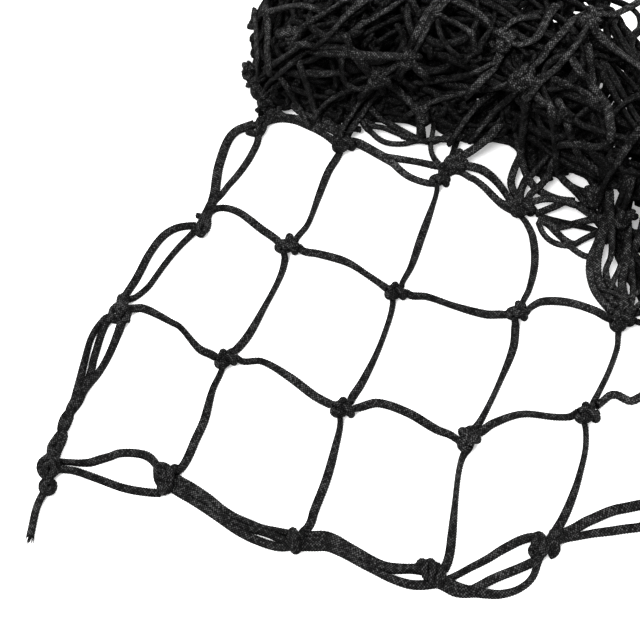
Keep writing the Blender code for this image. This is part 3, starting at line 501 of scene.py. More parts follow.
class Net:
    """Closed tubes gathered into one mesh, with a cord map: U round, V along."""

    def __init__(self, name):
        self.name = name
        self.verts, self.quads, self.quad_uv, self.caps = [], [], [], []
        self.count = 0
        self.length = 0.0

    def triangles(self):
        return 2 * sum(len(q) for q in self.quads) + sum(len(c) - 2 for c in self.caps)

    def tube(self, pts, wide, thin, sides, relief=0.0, face=None, spin=0.0):
        """A cord of half sizes wide and thin. face turns its flat side from
        lying level, in degrees; without it the flat side is carried along."""
        pts = np.asarray(pts, float)
        n = len(pts)
        wide = np.broadcast_to(np.asarray(wide, float), (n,))
        thin = np.broadcast_to(np.asarray(thin, float), (n,))
        tan, nor, bin_ = frames(pts)
        if face is None:
            f = np.broadcast_to(np.asarray(spin, float), (n,))
            level, rise = nor, bin_
        else:
            f = np.radians(np.broadcast_to(np.asarray(face, float), (n,)))
            rise = np.array((0.0, 0.0, 1.0)) - tan * tan[:, 2:3]
            rise /= np.linalg.norm(rise, axis=1)[:, None] + 1e-9
            level = np.cross(rise, tan)
        cf, sf = np.cos(f)[:, None], np.sin(f)[:, None]
        a, b = level * cf + rise * sf, rise * cf - level * sf
        ang = 2 * math.pi * np.arange(sides) / sides
        bulge = np.zeros((n, sides))
        if relief:
            bulge = relief * (1.0 - 2.0 * ((np.arange(n)[:, None] + np.arange(sides)[None, :]) % 2))
        v = (pts[:, None] + a[:, None] * ((wide[:, None] + bulge) * np.cos(ang))[..., None]
             + b[:, None] * ((thin[:, None] + bulge) * np.sin(ang))[..., None])
        z = v[..., 2]
        low = z < 0.6
        z[low] = 0.6 * np.exp((z[low] - 0.6) / 0.6)
        s = np.concatenate([[0.0], np.cumsum(np.linalg.norm(np.diff(pts, axis=0), axis=1))])
        self.length += s[-1]
        vv = s / BRAID_PITCH + (self.count * 0.37) % 1.0
        i = np.arange(n - 1)[:, None]
        k = np.arange(sides)[None, :]
        k1 = (k + 1) % sides
        base = self.count
        q = np.stack([base + i * sides + k, base + i * sides + k1,
                      base + (i + 1) * sides + k1, base + (i + 1) * sides + k], -1).reshape(-1, 4)
        u0 = np.broadcast_to(k / sides, (n - 1, sides))
        u1 = np.broadcast_to((k + 1) / sides, (n - 1, sides))
        v0 = np.broadcast_to(vv[:-1, None], (n - 1, sides))
        v1 = np.broadcast_to(vv[1:, None], (n - 1, sides))
        uv = np.stack([np.stack([u0, v0], -1), np.stack([u1, v0], -1),
                       np.stack([u1, v1], -1), np.stack([u0, v1], -1)], -2).reshape(-1, 4, 2)
        self.verts.append(v.reshape(-1, 3))
        self.quads.append(q)
        self.quad_uv.append(uv)
        self.caps.append(list(range(base + sides - 1, base - 1, -1)))
        self.caps.append(list(range(base + (n - 1) * sides, base + n * sides)))
        self.count += n * sides

    def build(self, mat):
        v = np.concatenate(self.verts)
        v = (v - np.array((CENTRE[0], CENTRE[1], 0.0))) * 0.001
        q = np.concatenate(self.quads)
        uv = np.concatenate(self.quad_uv)
        me = bpy.data.meshes.new(self.name)
        loops = np.concatenate([q.reshape(-1)] + [np.array(c) for c in self.caps])
        sizes = np.concatenate([np.full(len(q), 4), np.array([len(c) for c in self.caps])])
        starts = np.concatenate([[0], np.cumsum(sizes)[:-1]])
        me.vertices.add(len(v))
        me.vertices.foreach_set("co", v.astype(np.float32).reshape(-1))
        me.loops.add(len(loops))
        me.loops.foreach_set("vertex_index", loops.astype(np.int32))
        me.polygons.add(len(sizes))
        me.polygons.foreach_set("loop_start", starts.astype(np.int32))
        me.update(calc_edges=True)
        layer = me.uv_layers.new(name="CordMap")
        flat_uv = np.zeros((len(loops), 2), np.float32)
        flat_uv[:len(q) * 4] = uv.reshape(-1, 2)
        layer.data.foreach_set("uv", flat_uv.reshape(-1))
        me.shade_smooth()
        me.validate()
        ob = bpy.data.objects.new(self.name, me)
        bpy.context.scene.collection.objects.link(ob)
        me.materials.append(mat)
        return ob


# =================================================================== knots
# The netting knot, in its own axes: a along the knot towards its upper end, b
# to the left, h up from its middle. The bight opens to the upper end.
BIGHT = (
    # a, b, h
    (7.0, 2.7, -0.6), (3.6, 2.8, 0.2), (-2.0, 3.4, 0.0),
    (-5.8, 3.0, 0.4), (-8.0, 0.1, 0.6), (-5.8, -2.9, 0.4), (-2.0, -3.4, 0.0),
    (3.6, -2.8, 0.2), (7.0, -2.8, -0.6),
)
WRAP = (
    # a, b, h
    (-3.4, -1.0, -3.6), (-2.2, 0.3, -0.4),
    (-0.4, 0.0, 3.1), (1.1, -1.7, 4.5), (2.5, -4.2, 3.8), (3.5, -6.1, 0.9),
    (3.7, -5.5, -2.6), (3.7, -2.6, -4.3), (3.7, 0.8, -4.3), (3.6, 4.0, -3.9),
    (3.2, 6.1, -1.4), (2.2, 5.8, 2.1), (0.5, 4.1, 4.2), (-2.4, 3.1, 4.6),
    (-5.4, 3.9, 3.6),
)
PORTS = {
    # leg: end point of its cord in the knot
    "U": (7.0, 2.7, -0.6), "R": (7.0, -2.8, -0.6),
    "D": (-3.4, -1.0, -3.6), "L": (-5.4, 3.9, 3.6),
}
KNOT_HALF = 6.6     # middle of a flat knot over the floor


class Knot:
    def __init__(self, c, a, n, size, mirrored):
        self.c = np.asarray(c, float)
        self.a = unit(a)
        n = np.asarray(n, float)
        self.n = unit(n - self.a * (n @ self.a))
        self.b = np.cross(self.n, self.a)
        self.size = size
        self.flip = -1.0 if mirrored else 1.0

    def at(self, p):
        p = np.asarray(p, float) * self.size
        return self.c + p[..., 0:1] * self.a + p[..., 1:2] * self.b + p[..., 2:3] * self.n

    def port(self, leg, k=0):
        """End of a leg's cord and the way it leaves; k shifts a second cord."""
        p = np.array(PORTS[leg])
        if self.flip < 0:
            # a mirrored knot swaps the heights of its two sides, not its legs
            other = {"U": "R", "R": "U", "D": "L", "L": "D"}[leg]
            q = np.array(PORTS[other])
            p = np.array((q[0], -q[1], q[2]))
        p = p + np.array((0.0, 1.6, 0.9)) * k
        out = self.a if leg in "UR" else -self.a
        side = self.b if leg in "UL" else -self.b
        return self.at(p[None])[0], unit(out + 0.25 * side)

    def curves(self):
        for line in (BIGHT, WRAP):
            p = np.array(line)
            p[:, 1] *= self.flip
            yield self.at(p)


def flat_knot(key):
    x, y = KNOTS[key]
    turn, size, mirrored = KNOT_LAY[key]
    t = math.radians(turn)
    c = (x, y, KNOT_HALF * size)
    return Knot(c, (math.cos(t), math.sin(t), 0.0), (0, 0, 1), size, mirrored)


class Hitch:
    """A border knot: wraps round the border strands, with a lump on top."""

    def __init__(self, key):
        self.key = key
        x, y = KNOTS[key]
        self.half, self.turns, self.lump = BORDER_LAY[key]
        i, j = key
        if j == 0 and i > 0:
            nb = [KNOTS[k] for k in ((i - 1, 0), (i + 1, 0)) if k in KNOTS]
            nb = nb if len(nb) > 1 else [nb[0], (x, y)]
        else:
            nb = [KNOTS[k] for k in ((0, j - 1), (0, j + 1)) if k in KNOTS]
            nb = nb if len(nb) > 1 else ([nb[0], (x, y)] if j else [(x, y), nb[0]])
        d = np.array(nb[1]) - np.array(nb[0])
        self.a = unit((d[0], d[1], 0.0))
        self.n = np.array((0.0, 0.0, 1.0))
        self.b = np.cross(self.n, self.a)
        self.c = np.array((x, y, 7.6))

    def at(self, a, b, h):
        return self.c + self.a * a + self.b * b + self.n * h

    def inside(self, away, off):
        """Point inside the knot for a border strand that leaves that way."""
        s = 1.0 if away @ self.a > 0 else -1.0
        lim = self.half - 1.5
        return self.at(3.0 * s, max(-lim, min(lim, off)), 0.0)

    def port(self, leg, k=0):
        if leg == "U":
            p, d = self.at(6.5, self.half * 0.5, 3.4), unit(self.a * 0.8 + self.b * 0.6)
        elif leg == "R":
            p, d = self.at(5.5, -self.half * 0.6, 3.0), unit(self.a * 0.6 - self.b * 0.8)
        elif leg == "L":
            p, d = self.at(-5.5, self.half * 0.6, 0.0), unit(-self.a * 0.8 + self.b * 0.3)
        else:
            p, d = self.at(-6.5, -self.half * 0.5, 0.0), unit(-self.a)
        if k:
            p = p + self.b * 2.0 - self.n * 2.0
        return p, d

    def curves(self):
        out = []
        rb, rh = self.half + 2.3, 5.0
        pitch = 4.4
        n = int(14 * self.turns) + 1
        t = np.linspace(0.0, self.turns, n)
        start = 0.12 if self.key[1] == 0 else 0.55
        ang = 2 * math.pi * (t + start)
        ca, sa = np.cos(ang), np.sin(ang)
        sq = 0.72
        bb = rb * np.sign(ca) * np.abs(ca) ** sq
        hh = rh * np.sign(sa) * np.abs(sa) ** sq
        aa = (t - 0.5 * self.turns) * pitch + 1.4 * sa
        wrap = self.c + self.a * aa[:, None] + self.b * bb[:, None] + self.n * hh[:, None]
        lead = wrap[0] + (self.c - wrap[0]) * 0.6
        tail = wrap[-1] + (self.c - wrap[-1]) * 0.6
        out.append(np.concatenate([lead[None], wrap, tail[None]]))
        # one more pass lies slantwise over the wraps
        w = self.half
        out.append(np.array([self.at(*p) for p in (
            (-6.0, -w * 0.3, 1.0), (-6.8, -w * 0.1, 4.0), (-3.5, -w * 0.35, 6.4), (0.5, 0.2, 7.0),
            (4.0, w * 0.4, 6.4), (6.6, w * 0.6, 3.8), (7.4, w * 0.7, 0.5))]))
        if self.lump:
            s = self.lump
            out.append(np.array([self.at(*(np.array(p) * s)) for p in (
                (-3.0, -w * 0.8, 3.2), (-8.0, -w * 0.6, 3.6), (-10.6, 0.2, 2.6),
                (-8.8, w * 0.9, 2.8), (-4.0, w * 1.25, 2.6), (1.0, w * 1.1, 3.8), (4.5, w * 0.3, 3.0))]))
        return out


# ============================================================ heap relaxation
def heap_front(x):
    return np.interp(x, HEAP[:, 0], HEAP[:, 1])


def heap_back(x):
    return np.interp(x, HEAP[:, 0], HEAP[:, 2])


def heap_height(x):
    return np.interp(x, HEAP[:, 0], HEAP[:, 3])


def foot_line(x):
    return np.interp(x, FOOT_LINE[:, 0], FOOT_LINE[:, 1])


def keep_clear(Q, free, share):
    """Push points sideways in the picture out of the openings that show floor."""
    u, v, z = picture(Q)
    near = np.flatnonzero(free & (u > 240) & (u < 660) & (v > 90) & (v < 320))
    for u0, v0, ru, rv in CLEAR:
        ru, rv = ru + 2.5, rv + 2.5
        du, dv = (u[near] - u0) / ru, (v[near] - v0) / rv
        r = np.sqrt(du * du + dv * dv) + 1e-6
        m = r < 1.0
        if m.any():
            k = near[m]
            grow = (1.0 / r[m] - 1.0)
            mm = z[k] / CAM_F_PX
            su = np.clip(du[m] * ru * grow * mm, -6, 6)[:, None]
            sv = np.clip(dv[m] * rv * grow * mm, -6, 6)[:, None]
            Q[k] += (RIGHT * su - UP * sv) * share
    k = np.flatnonzero(free & (u < 252) & (v < 100))
    Q[k] += RIGHT * ((252 - u[k]) * z[k] / CAM_F_PX * share)[:, None]


def is_clear(pts):
    """Whether a cord stays out of the openings and off the heap's left edge."""
    u, v, _ = picture(pts)
    for u0, v0, ru, rv in CLEAR:
        if ((((u - u0) / (ru + 1.0)) ** 2 + ((v - v0) / (rv + 1.0)) ** 2) < 1.0).any():
            return False
    return not ((u < 250) & (v < 100)).any()


def foot_cords(rng, count):
    """Cords packed along the heap's foot: along it, up from it, round its end."""
    t = np.linspace(0, 1, 6)
    made = []
    for _ in range(count * 8):
        if len(made) == count:
            break
        kind = rng.random()
        wig = lambda a: a * np.sin(t * rng.uniform(3.0, 7.0) + rng.uniform(0, 6.3))
        if kind < 0.2:
            x = rng.uniform(12, 430) + rng.uniform(30, 70) * t
            d = rng.uniform(2, 26) + rng.uniform(-8, 8) * t + wig(2.0)
            z = 3.0 + rng.uniform(0, 9) + wig(1.5)
            y = foot_line(x) + np.maximum(d, 1.0)
        elif kind < 0.55:
            x = rng.uniform(12, 410) + rng.uniform(40, 105) * t
            d = rng.uniform(5, 48) + rng.uniform(-13, 13) * t + wig(3.0)
            d = np.maximum(d, 3.0)
            z = 3.0 + d * rng.uniform(0.15, 1.0) + wig(2.5)
            y = foot_line(x) + d
        elif kind < 0.84:
            x = rng.uniform(12, 430) + rng.uniform(-30, 30) * t + wig(4.0)
            d = rng.uniform(2, 14) + rng.uniform(30, 52) * t
            z = 3.0 + d * rng.uniform(0.6, 1.1) + wig(3.0)
            y = foot_line(np.clip(x, 8, 552)) + d
        else:
            y = rng.uniform(386, 440) + rng.uniform(35, 70) * t
            x = rng.uniform(9, 30) + wig(3.0)
            z = rng.uniform(3, 50) + rng.uniform(-14, 16) * t + wig(2.0)
        z = np.clip(z, 2.6, 0.9 * heap_height(np.clip(x, 8, 552)))
        y = np.minimum(y, heap_back(np.clip(x, 8, 552)) - 24)
        pts = np.stack([x, y, z], 1)
        # both ends turn back into the heap
        ends = [pts[k] + unit(pts[k] - pts[j]) * 9.0 + np.array((4.0, 10.0, -3.0)) for k, j in ((0, 1), (-1, -2))]
        for q in ends:
            q[1] = min(q[1], heap_back(q[0]) - 16)
            q[2] = max(q[2], 2.6)
        pts = np.concatenate([ends[0][None], pts, ends[1][None]])
        if is_clear(smooth(pts, 4.0)):
            made.append(pts)
    return made


def back_and_forth(u):
    """0 at even numbers, 1 at odd ones, straight between."""
    f = u - 2 * math.floor(u / 2)
    return f if f <= 1 else 2 - f


def cell_pairs(mid, h):
    """Index pairs of things in the same or neighbouring cells of size h."""
    c = np.floor((mid - mid.min(0)) / h).astype(np.int64) + 1
    n = c.max(0) + 2
    key = (c[:, 0] * n[1] + c[:, 1]) * n[2] + c[:, 2]
    order = np.argsort(key, kind="stable")
    ks = key[order]
    idx = np.arange(len(mid))
    out_i, out_j = [], []
    for dx, dy, dz in ((0, 0, 0), (0, 0, 1), (0, 1, -1), (0, 1, 0), (0, 1, 1),
                       (1, -1, -1), (1, -1, 0), (1, -1, 1), (1, 0, -1), (1, 0, 0),
                       (1, 0, 1), (1, 1, -1), (1, 1, 0), (1, 1, 1)):
        off = (dx * n[1] + dy) * n[2] + dz
        lo = idx + 1 if off == 0 else np.searchsorted(ks, ks + off, side="left")
        hi = np.searchsorted(ks, ks + off, side="right")
        cnt = np.maximum(hi - lo, 0)
        tot = int(cnt.sum())
        if tot:
            a = np.repeat(idx, cnt)
            start = np.repeat(np.cumsum(cnt) - cnt, cnt)
            out_i.append(order[a])
            out_j.append(order[np.repeat(lo, cnt) + (np.arange(tot) - start)])
    return np.concatenate(out_i), np.concatenate(out_j)


def closest(p1, q1, p2, q2):
    """Closest points of pairs of segments, as shares along each."""
    d1, d2, r = q1 - p1, q2 - p2, p1 - p2
    a = np.einsum("ij,ij->i", d1, d1) + 1e-6
    e = np.einsum("ij,ij->i", d2, d2) + 1e-6
    f = np.einsum("ij,ij->i", d2, r)
    c = np.einsum("ij,ij->i", d1, r)
    b = np.einsum("ij,ij->i", d1, d2)
    s = np.clip((b * f - c * e) / np.maximum(a * e - b * b, 1e-4), 0.0, 1.0)
    t = np.clip((b * s + f) / e, 0.0, 1.0)
    s = np.clip((b * t - c) / a, 0.0, 1.0)
    t = np.clip((b * s + f) / e, 0.0, 1.0)
    return s, t, r + d1 * s[:, None] - d2 * t[:, None]


class Relax:
    """The free cords as chains of points: length, stiffness, contact, weight."""
    SEGS = 8
    CORD_D = 5.4
    KNOT_RAD = 7.2
    BEND = 0.35

    def __init__(self, seed):
        rng = np.random.default_rng(seed)
        self.kid, P, W = {}, [], []
        goal = self.goals(rng)
        for i in range(NX + 1):
            for j in range(NY + 1):
                self.kid[i, j] = len(P)
                if (i, j) in KNOTS:
                    P.append((*KNOTS[i, j], 6.5))
                    W.append(0.0)
                else:
                    t = goal[i, j]
                    P.append((t[0] + (t[0] - 267.0) * 0.4, t[1], 20 + t[2] * 5.0))
                    W.append(0.35)
        free_keys = [k for k in self.kid if k not in KNOTS]
        self.knots = np.array([self.kid[k] for k in free_keys])
        self.goal = np.array([goal[k] for k in free_keys])
        self.strands = []
        segs, rest, bends, near = [], [], [], []
        n = self.SEGS

        def strand(a, b, twin):
            flat = a in KNOTS and b in KNOTS
            length = MESH + 4.0 * twin
            ia, ib = self.kid[a], self.kid[b]
            pa, pb = np.array(P[ia]), np.array(P[ib])
            d = pb - pa
            nrm = unit((-d[1], d[0], 0.0))
            slack = 0.5 * math.sqrt(max(0.0, length ** 2 - d @ d))
            ph, wob = rng.uniform(-0.9, 0.9), rng.uniform(-1, 1)
            ids = [ia]
            for k in range(1, n):
                t = k / n
                h = math.sin(math.pi * t)
                q = pa + d * t + nrm * (twin * 7.0 * h + slack * 0.6 * wob * h)
                q[2] = max(q[2] + h * slack * math.cos(ph) * 0.6, 3.0)
                ids.append(len(P))
                P.append(tuple(q))
                W.append(0.0 if flat else 1.0)
            ids.append(ib)
            self.strands.append((a, b, ids, twin))
            s = length / n
            for k in range(n):
                segs.append((ids[k], ids[k + 1]))
                rest.append(s)
                near.append(ia if k == 0 else ib if k == n - 1 else -1)
            for k in range(n - 1):
                bends.append((ids[k], ids[k + 2], 2 * s * 0.99, self.BEND))
            for k in range(n - 3):
                bends.append((ids[k], ids[k + 4], 4 * s * 0.95, self.BEND * 0.35))

        for j in range(NY + 1):
            for i in range(NX):
                for twin in range(1 if 0 < j < NY else 2):
                    strand((i, j), (i + 1, j), twin)
        for i in range(NX + 1):
            for j in range(NY):
                for twin in range(1 if 0 < i < NX else 2):
                    strand((i, j), (i, j + 1), twin)
        first = {(a, b): ids for a, b, ids, twin in self.strands if not twin}
        four = 4 * MESH / n
        for (i, j), me in self.kid.items():
            l, r = first.get(((i - 1, j), (i, j))), first.get(((i, j), (i + 1, j)))
            d, u = first.get(((i, j - 1), (i, j))), first.get(((i, j), (i, j + 1)))
            if l and r:
                bends.append((l[-3], r[2], four * 0.85, self.BEND * 0.6))
            if d and u:
                bends.append((d[-3], u[2], four * 0.85, self.BEND * 0.6))
            for s1, s2 in ((l, d), (d, r), (r, u), (u, l)):
                if s1 and s2:
                    e1 = s1[2] if s1[0] == me else s1[-3]
                    e2 = s2[2] if s2[0] == me else s2[-3]
                    bends.append((e1, e2, 15.0, self.BEND))
        self.P, self.W = np.array(P, float), np.array(W, float)
        self.V = np.zeros_like(self.P)
        segs, self.rest = np.array(segs), np.array(rest)
        self.A, self.B = segs[:, 0], segs[:, 1]
        self.bA = np.array([b[0] for b in bends])
        self.bB = np.array([b[1] for b in bends])
        self.brest = np.array([b[2] for b in bends])
        self.bstiff = np.array([b[3] for b in bends])
        self.cA = np.concatenate([self.A, self.knots])
        self.cB = np.concatenate([self.B, self.knots])
        self.crad = np.concatenate([np.full(len(self.A), self.CORD_D / 2),
                                    np.full(len(self.knots), self.KNOT_RAD)])
        self.near = np.concatenate([np.array(near), self.knots])
        k = np.tile(np.arange(n), len(self.strands))
        inner = (k > 0) & (k < n - 1)
        self.groups = [(self.A[m], self.B[m], self.rest[m], st) for m, st in
                       ((inner & (k % 2 == 0), 1.0), (inner & (k % 2 == 1), 1.0), (~inner, 0.5))]
        self.start = self.P[self.knots].copy()

    @staticmethod
    def goals(rng):
        """Where each free knot goes: folded across, then back and forth."""
        out = {}
        x0, x1 = 13.0, 536.0
        px = (x1 - x0) / 86.0                # meshes in one pass across
        for i in range(NX + 1):
            for j in range(NY + 1):
                if (i, j) in KNOTS:
                    continue
                if j > 3:
                    u = i / px
                    xe = x0 + (x1 - x0) * back_and_forth(u)
                    w = min(1.0, (j - 3) / 2.5)
                    xf = COLUMN_AT_HEAP[i] if i <= 4 else 400 + 110 * back_and_forth((i - 4) / 1.3)
                    x = (1 - w) * xf + w * xe
                    f, b = foot_line(x) + 5, heap_back(x) - 10
                    if x > 420:
                        f = max(f, 236.0 - (x - 420) * 0.3)
                    cells = min((b - f) / 86.0, 2.2 + 0.4 * math.sin(i * 1.3))
                    v = (j - 3.0) / cells + 0.12 * math.sin(i * 0.9)
                    y = f + (b - f) * min(1.0, max(0.0, (back_and_forth(v) - 0.14) / 0.74))
                    p = int(v)
                    lay = u * px / NX
                    lay = lay if p % 2 == 0 else 1 - lay
                    rank = (0.75 * v + 0.25 * (p + lay)) / ((NY - 3) / cells + 0.6)
                else:
                    y = 158.0 + 50 * j
                    xl = np.interp(y, (131, 166, 236, 293, 334), (500, 465, 425, 385, 345)) + 10
                    xr = np.interp(y, (139, 186, 250, 312), (528, 545, 548, 548)) - 6
                    cells = max(0.9, (xr - xl) / 80.0)
                    x = xl + (xr - xl) * back_and_forth((i - 4) / cells + 0.3 * j)
                    rank = (i - 4) / (NX - 4)
                z = 7 + min(1.0, rank) * (float(heap_height(x)) - 15)
                out[i, j] = np.array((x + rng.uniform(-9, 9), y + rng.uniform(-8, 8), z + rng.uniform(-4, 4)))
        return out

    def find_pairs(self, margin):
        P, A, B = self.P, self.cA, self.cB
        mid = 0.5 * (P[A] + P[B])
        i, j = cell_pairs(mid, 18.5 + margin)
        half = 0.5 * np.linalg.norm(P[A] - P[B], axis=1)
        d = mid[i] - mid[j]
        lim = half[i] + half[j] + self.crad[i] + self.crad[j] + margin
        keep = np.einsum("ij,ij->i", d, d) < lim * lim
        free = (self.W[A] + self.W[B]) > 0
        keep &= free[i] | free[j]
        i, j = i[keep], j[keep]
        apart = (A[i] != A[j]) & (A[i] != B[j]) & (B[i] != A[j]) & (B[i] != B[j])
        k1, k2 = self.near[i], self.near[j]
        apart &= ~((k1 >= 0) & (k1 == k2))
        i, j = i[apart], j[apart]
        s, t, v = closest(P[A[i]], P[B[i]], P[A[j]], P[B[j]])
        lim = self.crad[i] + self.crad[j] + margin
        keep = np.einsum("ij,ij->i", v, v) < lim * lim
        self.pi, self.pj = i[keep], j[keep]

    def contacts(self, Q, relax=0.35, friction=0.12):
        A, B, W = self.cA, self.cB, self.W
        i, j = self.pi, self.pj
        a0, a1, b0, b1 = A[i], B[i], A[j], B[j]
        s, t, v = closest(Q[a0], Q[a1], Q[b0], Q[b1])
        dist = np.sqrt(np.einsum("ij,ij->i", v, v)) + 1e-9
        C = dist - (self.crad[i] + self.crad[j])
        m = C < 0
        if not m.any():
            return
        a0, a1, b0, b1, s, t, v, dist, C = (x[m] for x in (a0, a1, b0, b1, s, t, v, dist, C))
        nrm = v / dist[:, None]
        w = (1 - s, s, 1 - t, t)
        ww = (W[a0], W[a1], W[b0], W[b1])
        den = sum(x * y * y for x, y in zip(ww, w)) + 1e-9
        D = Q - self.P
        rel = ((D[a0] * w[0][:, None] + D[a1] * w[1][:, None])
               - (D[b0] * w[2][:, None] + D[b1] * w[3][:, None]))
        rel -= nrm * np.einsum("ij,ij->i", rel, nrm)[:, None]
        g = nrm * (-C / den * relax)[:, None] - rel * (friction / den)[:, None]
        idx = np.concatenate([a0, a1, b0, b1])
        val = np.concatenate([g * (w[0] * ww[0])[:, None], g * (w[1] * ww[1])[:, None],
                              -g * (w[2] * ww[2])[:, None], -g * (w[3] * ww[3])[:, None]])
        for k in range(3):
            Q[:, k] += np.bincount(idx, val[:, k], len(Q))

    def pull(self, Q, A, B, rest, stiff, only_short=False):
        d = Q[B] - Q[A]
        L = np.sqrt(np.einsum("ij,ij->i", d, d)) + 1e-9
        C = L - rest
        if only_short:
            C = np.minimum(C, 0.0)
        g = d * (stiff * C / (L * (self.W[A] + self.W[B] + 1e-12)))[:, None]
        idx = np.concatenate([A, B])
        val = np.concatenate([g * self.W[A][:, None], -g * self.W[B][:, None]])
        for k in range(3):
            Q[:, k] += np.bincount(idx, val[:, k], len(Q))

    def run(self, steps):
        n = len(self.P)
        is_knot = np.zeros(n, bool)
        is_knot[self.knots] = True
        zmin = np.where(is_knot, 6.0, 2.75)
        free = self.W > 0
        held = free.copy()
        for a, b, ids, twin in self.strands:
            if (a in KNOTS) != (b in KNOTS):
                held[ids[:4] if a in KNOTS else ids[-4:]] = False
        ph = np.random.default_rng(11).uniform(0, 6.28, 2)
        dt = 0.002
        for k in range(steps):
            u = k / steps
            v = min(1.0, u / 0.5)
            v = v * v * (3 - 2 * v)
            goal = self.start + (self.goal - self.start) * v
            right = 1400 + (548.0 - 1400) * v
            open_back = max(0.0, 1 - max(0.0, u - 0.3) / 0.3)
            lid = 480.0 * max(0.0, 1 - u / 0.6)
            wall = 0.05 + 0.15 * min(1, u / 0.6)
            kxy = 0.06 if u < 0.5 else 0.03 * max(0.1, 1 - (u - 0.5) / 0.3)
            kz = 0.04 if u < 0.6 else 0.02
            if k % 8 == 0:
                self.find_pairs(4.5)
            self.V[:, 2] -= 6000.0 * dt
            self.V *= 0.95 if u < 0.7 else 0.88
            sp = np.linalg.norm(self.V, axis=1)
            self.V *= np.minimum(1.0, 1500.0 / (sp + 1e-9))[:, None]
            self.V[~free] = 0
            Q = self.P + self.V * dt
            for _ in range(2):
                for ga, gb, gr, st in self.groups:
                    self.pull(Q, ga, gb, gr, st)
                self.pull(Q, self.bA, self.bB, self.brest, self.bstiff, True)
                self.contacts(Q)
                low = free & (Q[:, 2] < zmin)
                Q[low, :2] -= 0.5 * (Q[low, :2] - self.P[low, :2])
                Q[low, 2] = zmin[low]
                x, y, z = Q[:, 0], Q[:, 1], Q[:, 2]
                m = held & (x < 9.0)
                Q[m, 0] += (9.0 - x[m]) * 0.3
                m = free & (x > right)
                Q[m, 0] -= (x[m] - right) * 0.3
                xx = np.clip(x, 8, 552)
                f = foot_line(xx) + 1 + 3 * np.sin(x / 17.0 + ph[0]) + 2 * np.sin(z / 9.0 + ph[1])
                m = held & (y < f)
                Q[m, 1] += (f[m] - y[m]) * wall
                if u > 0.35:
                    keep_clear(Q, free, 0.08 + 0.3 * min(1.0, (u - 0.35) / 0.3))
                bk = heap_back(xx)
                bk = bk - 4 + (510.0 - bk) * open_back
                m = free & (y > bk)
                Q[m, 1] -= (y[m] - bk[m]) * wall
                hc = heap_height(xx) + 4 + lid
                m = free & (z > hc)
                Q[m, 2] -= (z[m] - hc[m]) * 0.3
                d = goal - Q[self.knots]
                d[:, :2] *= kxy
                d[:, 2] *= kz
                sp = np.linalg.norm(d, axis=1)
                Q[self.knots] += d * np.minimum(1.0, 2.5 / (sp + 1e-9))[:, None]
                Q[~free] = self.P[~free]
            Q = np.round(Q, 5)
            self.V = (Q - self.P) / dt
            self.P = Q


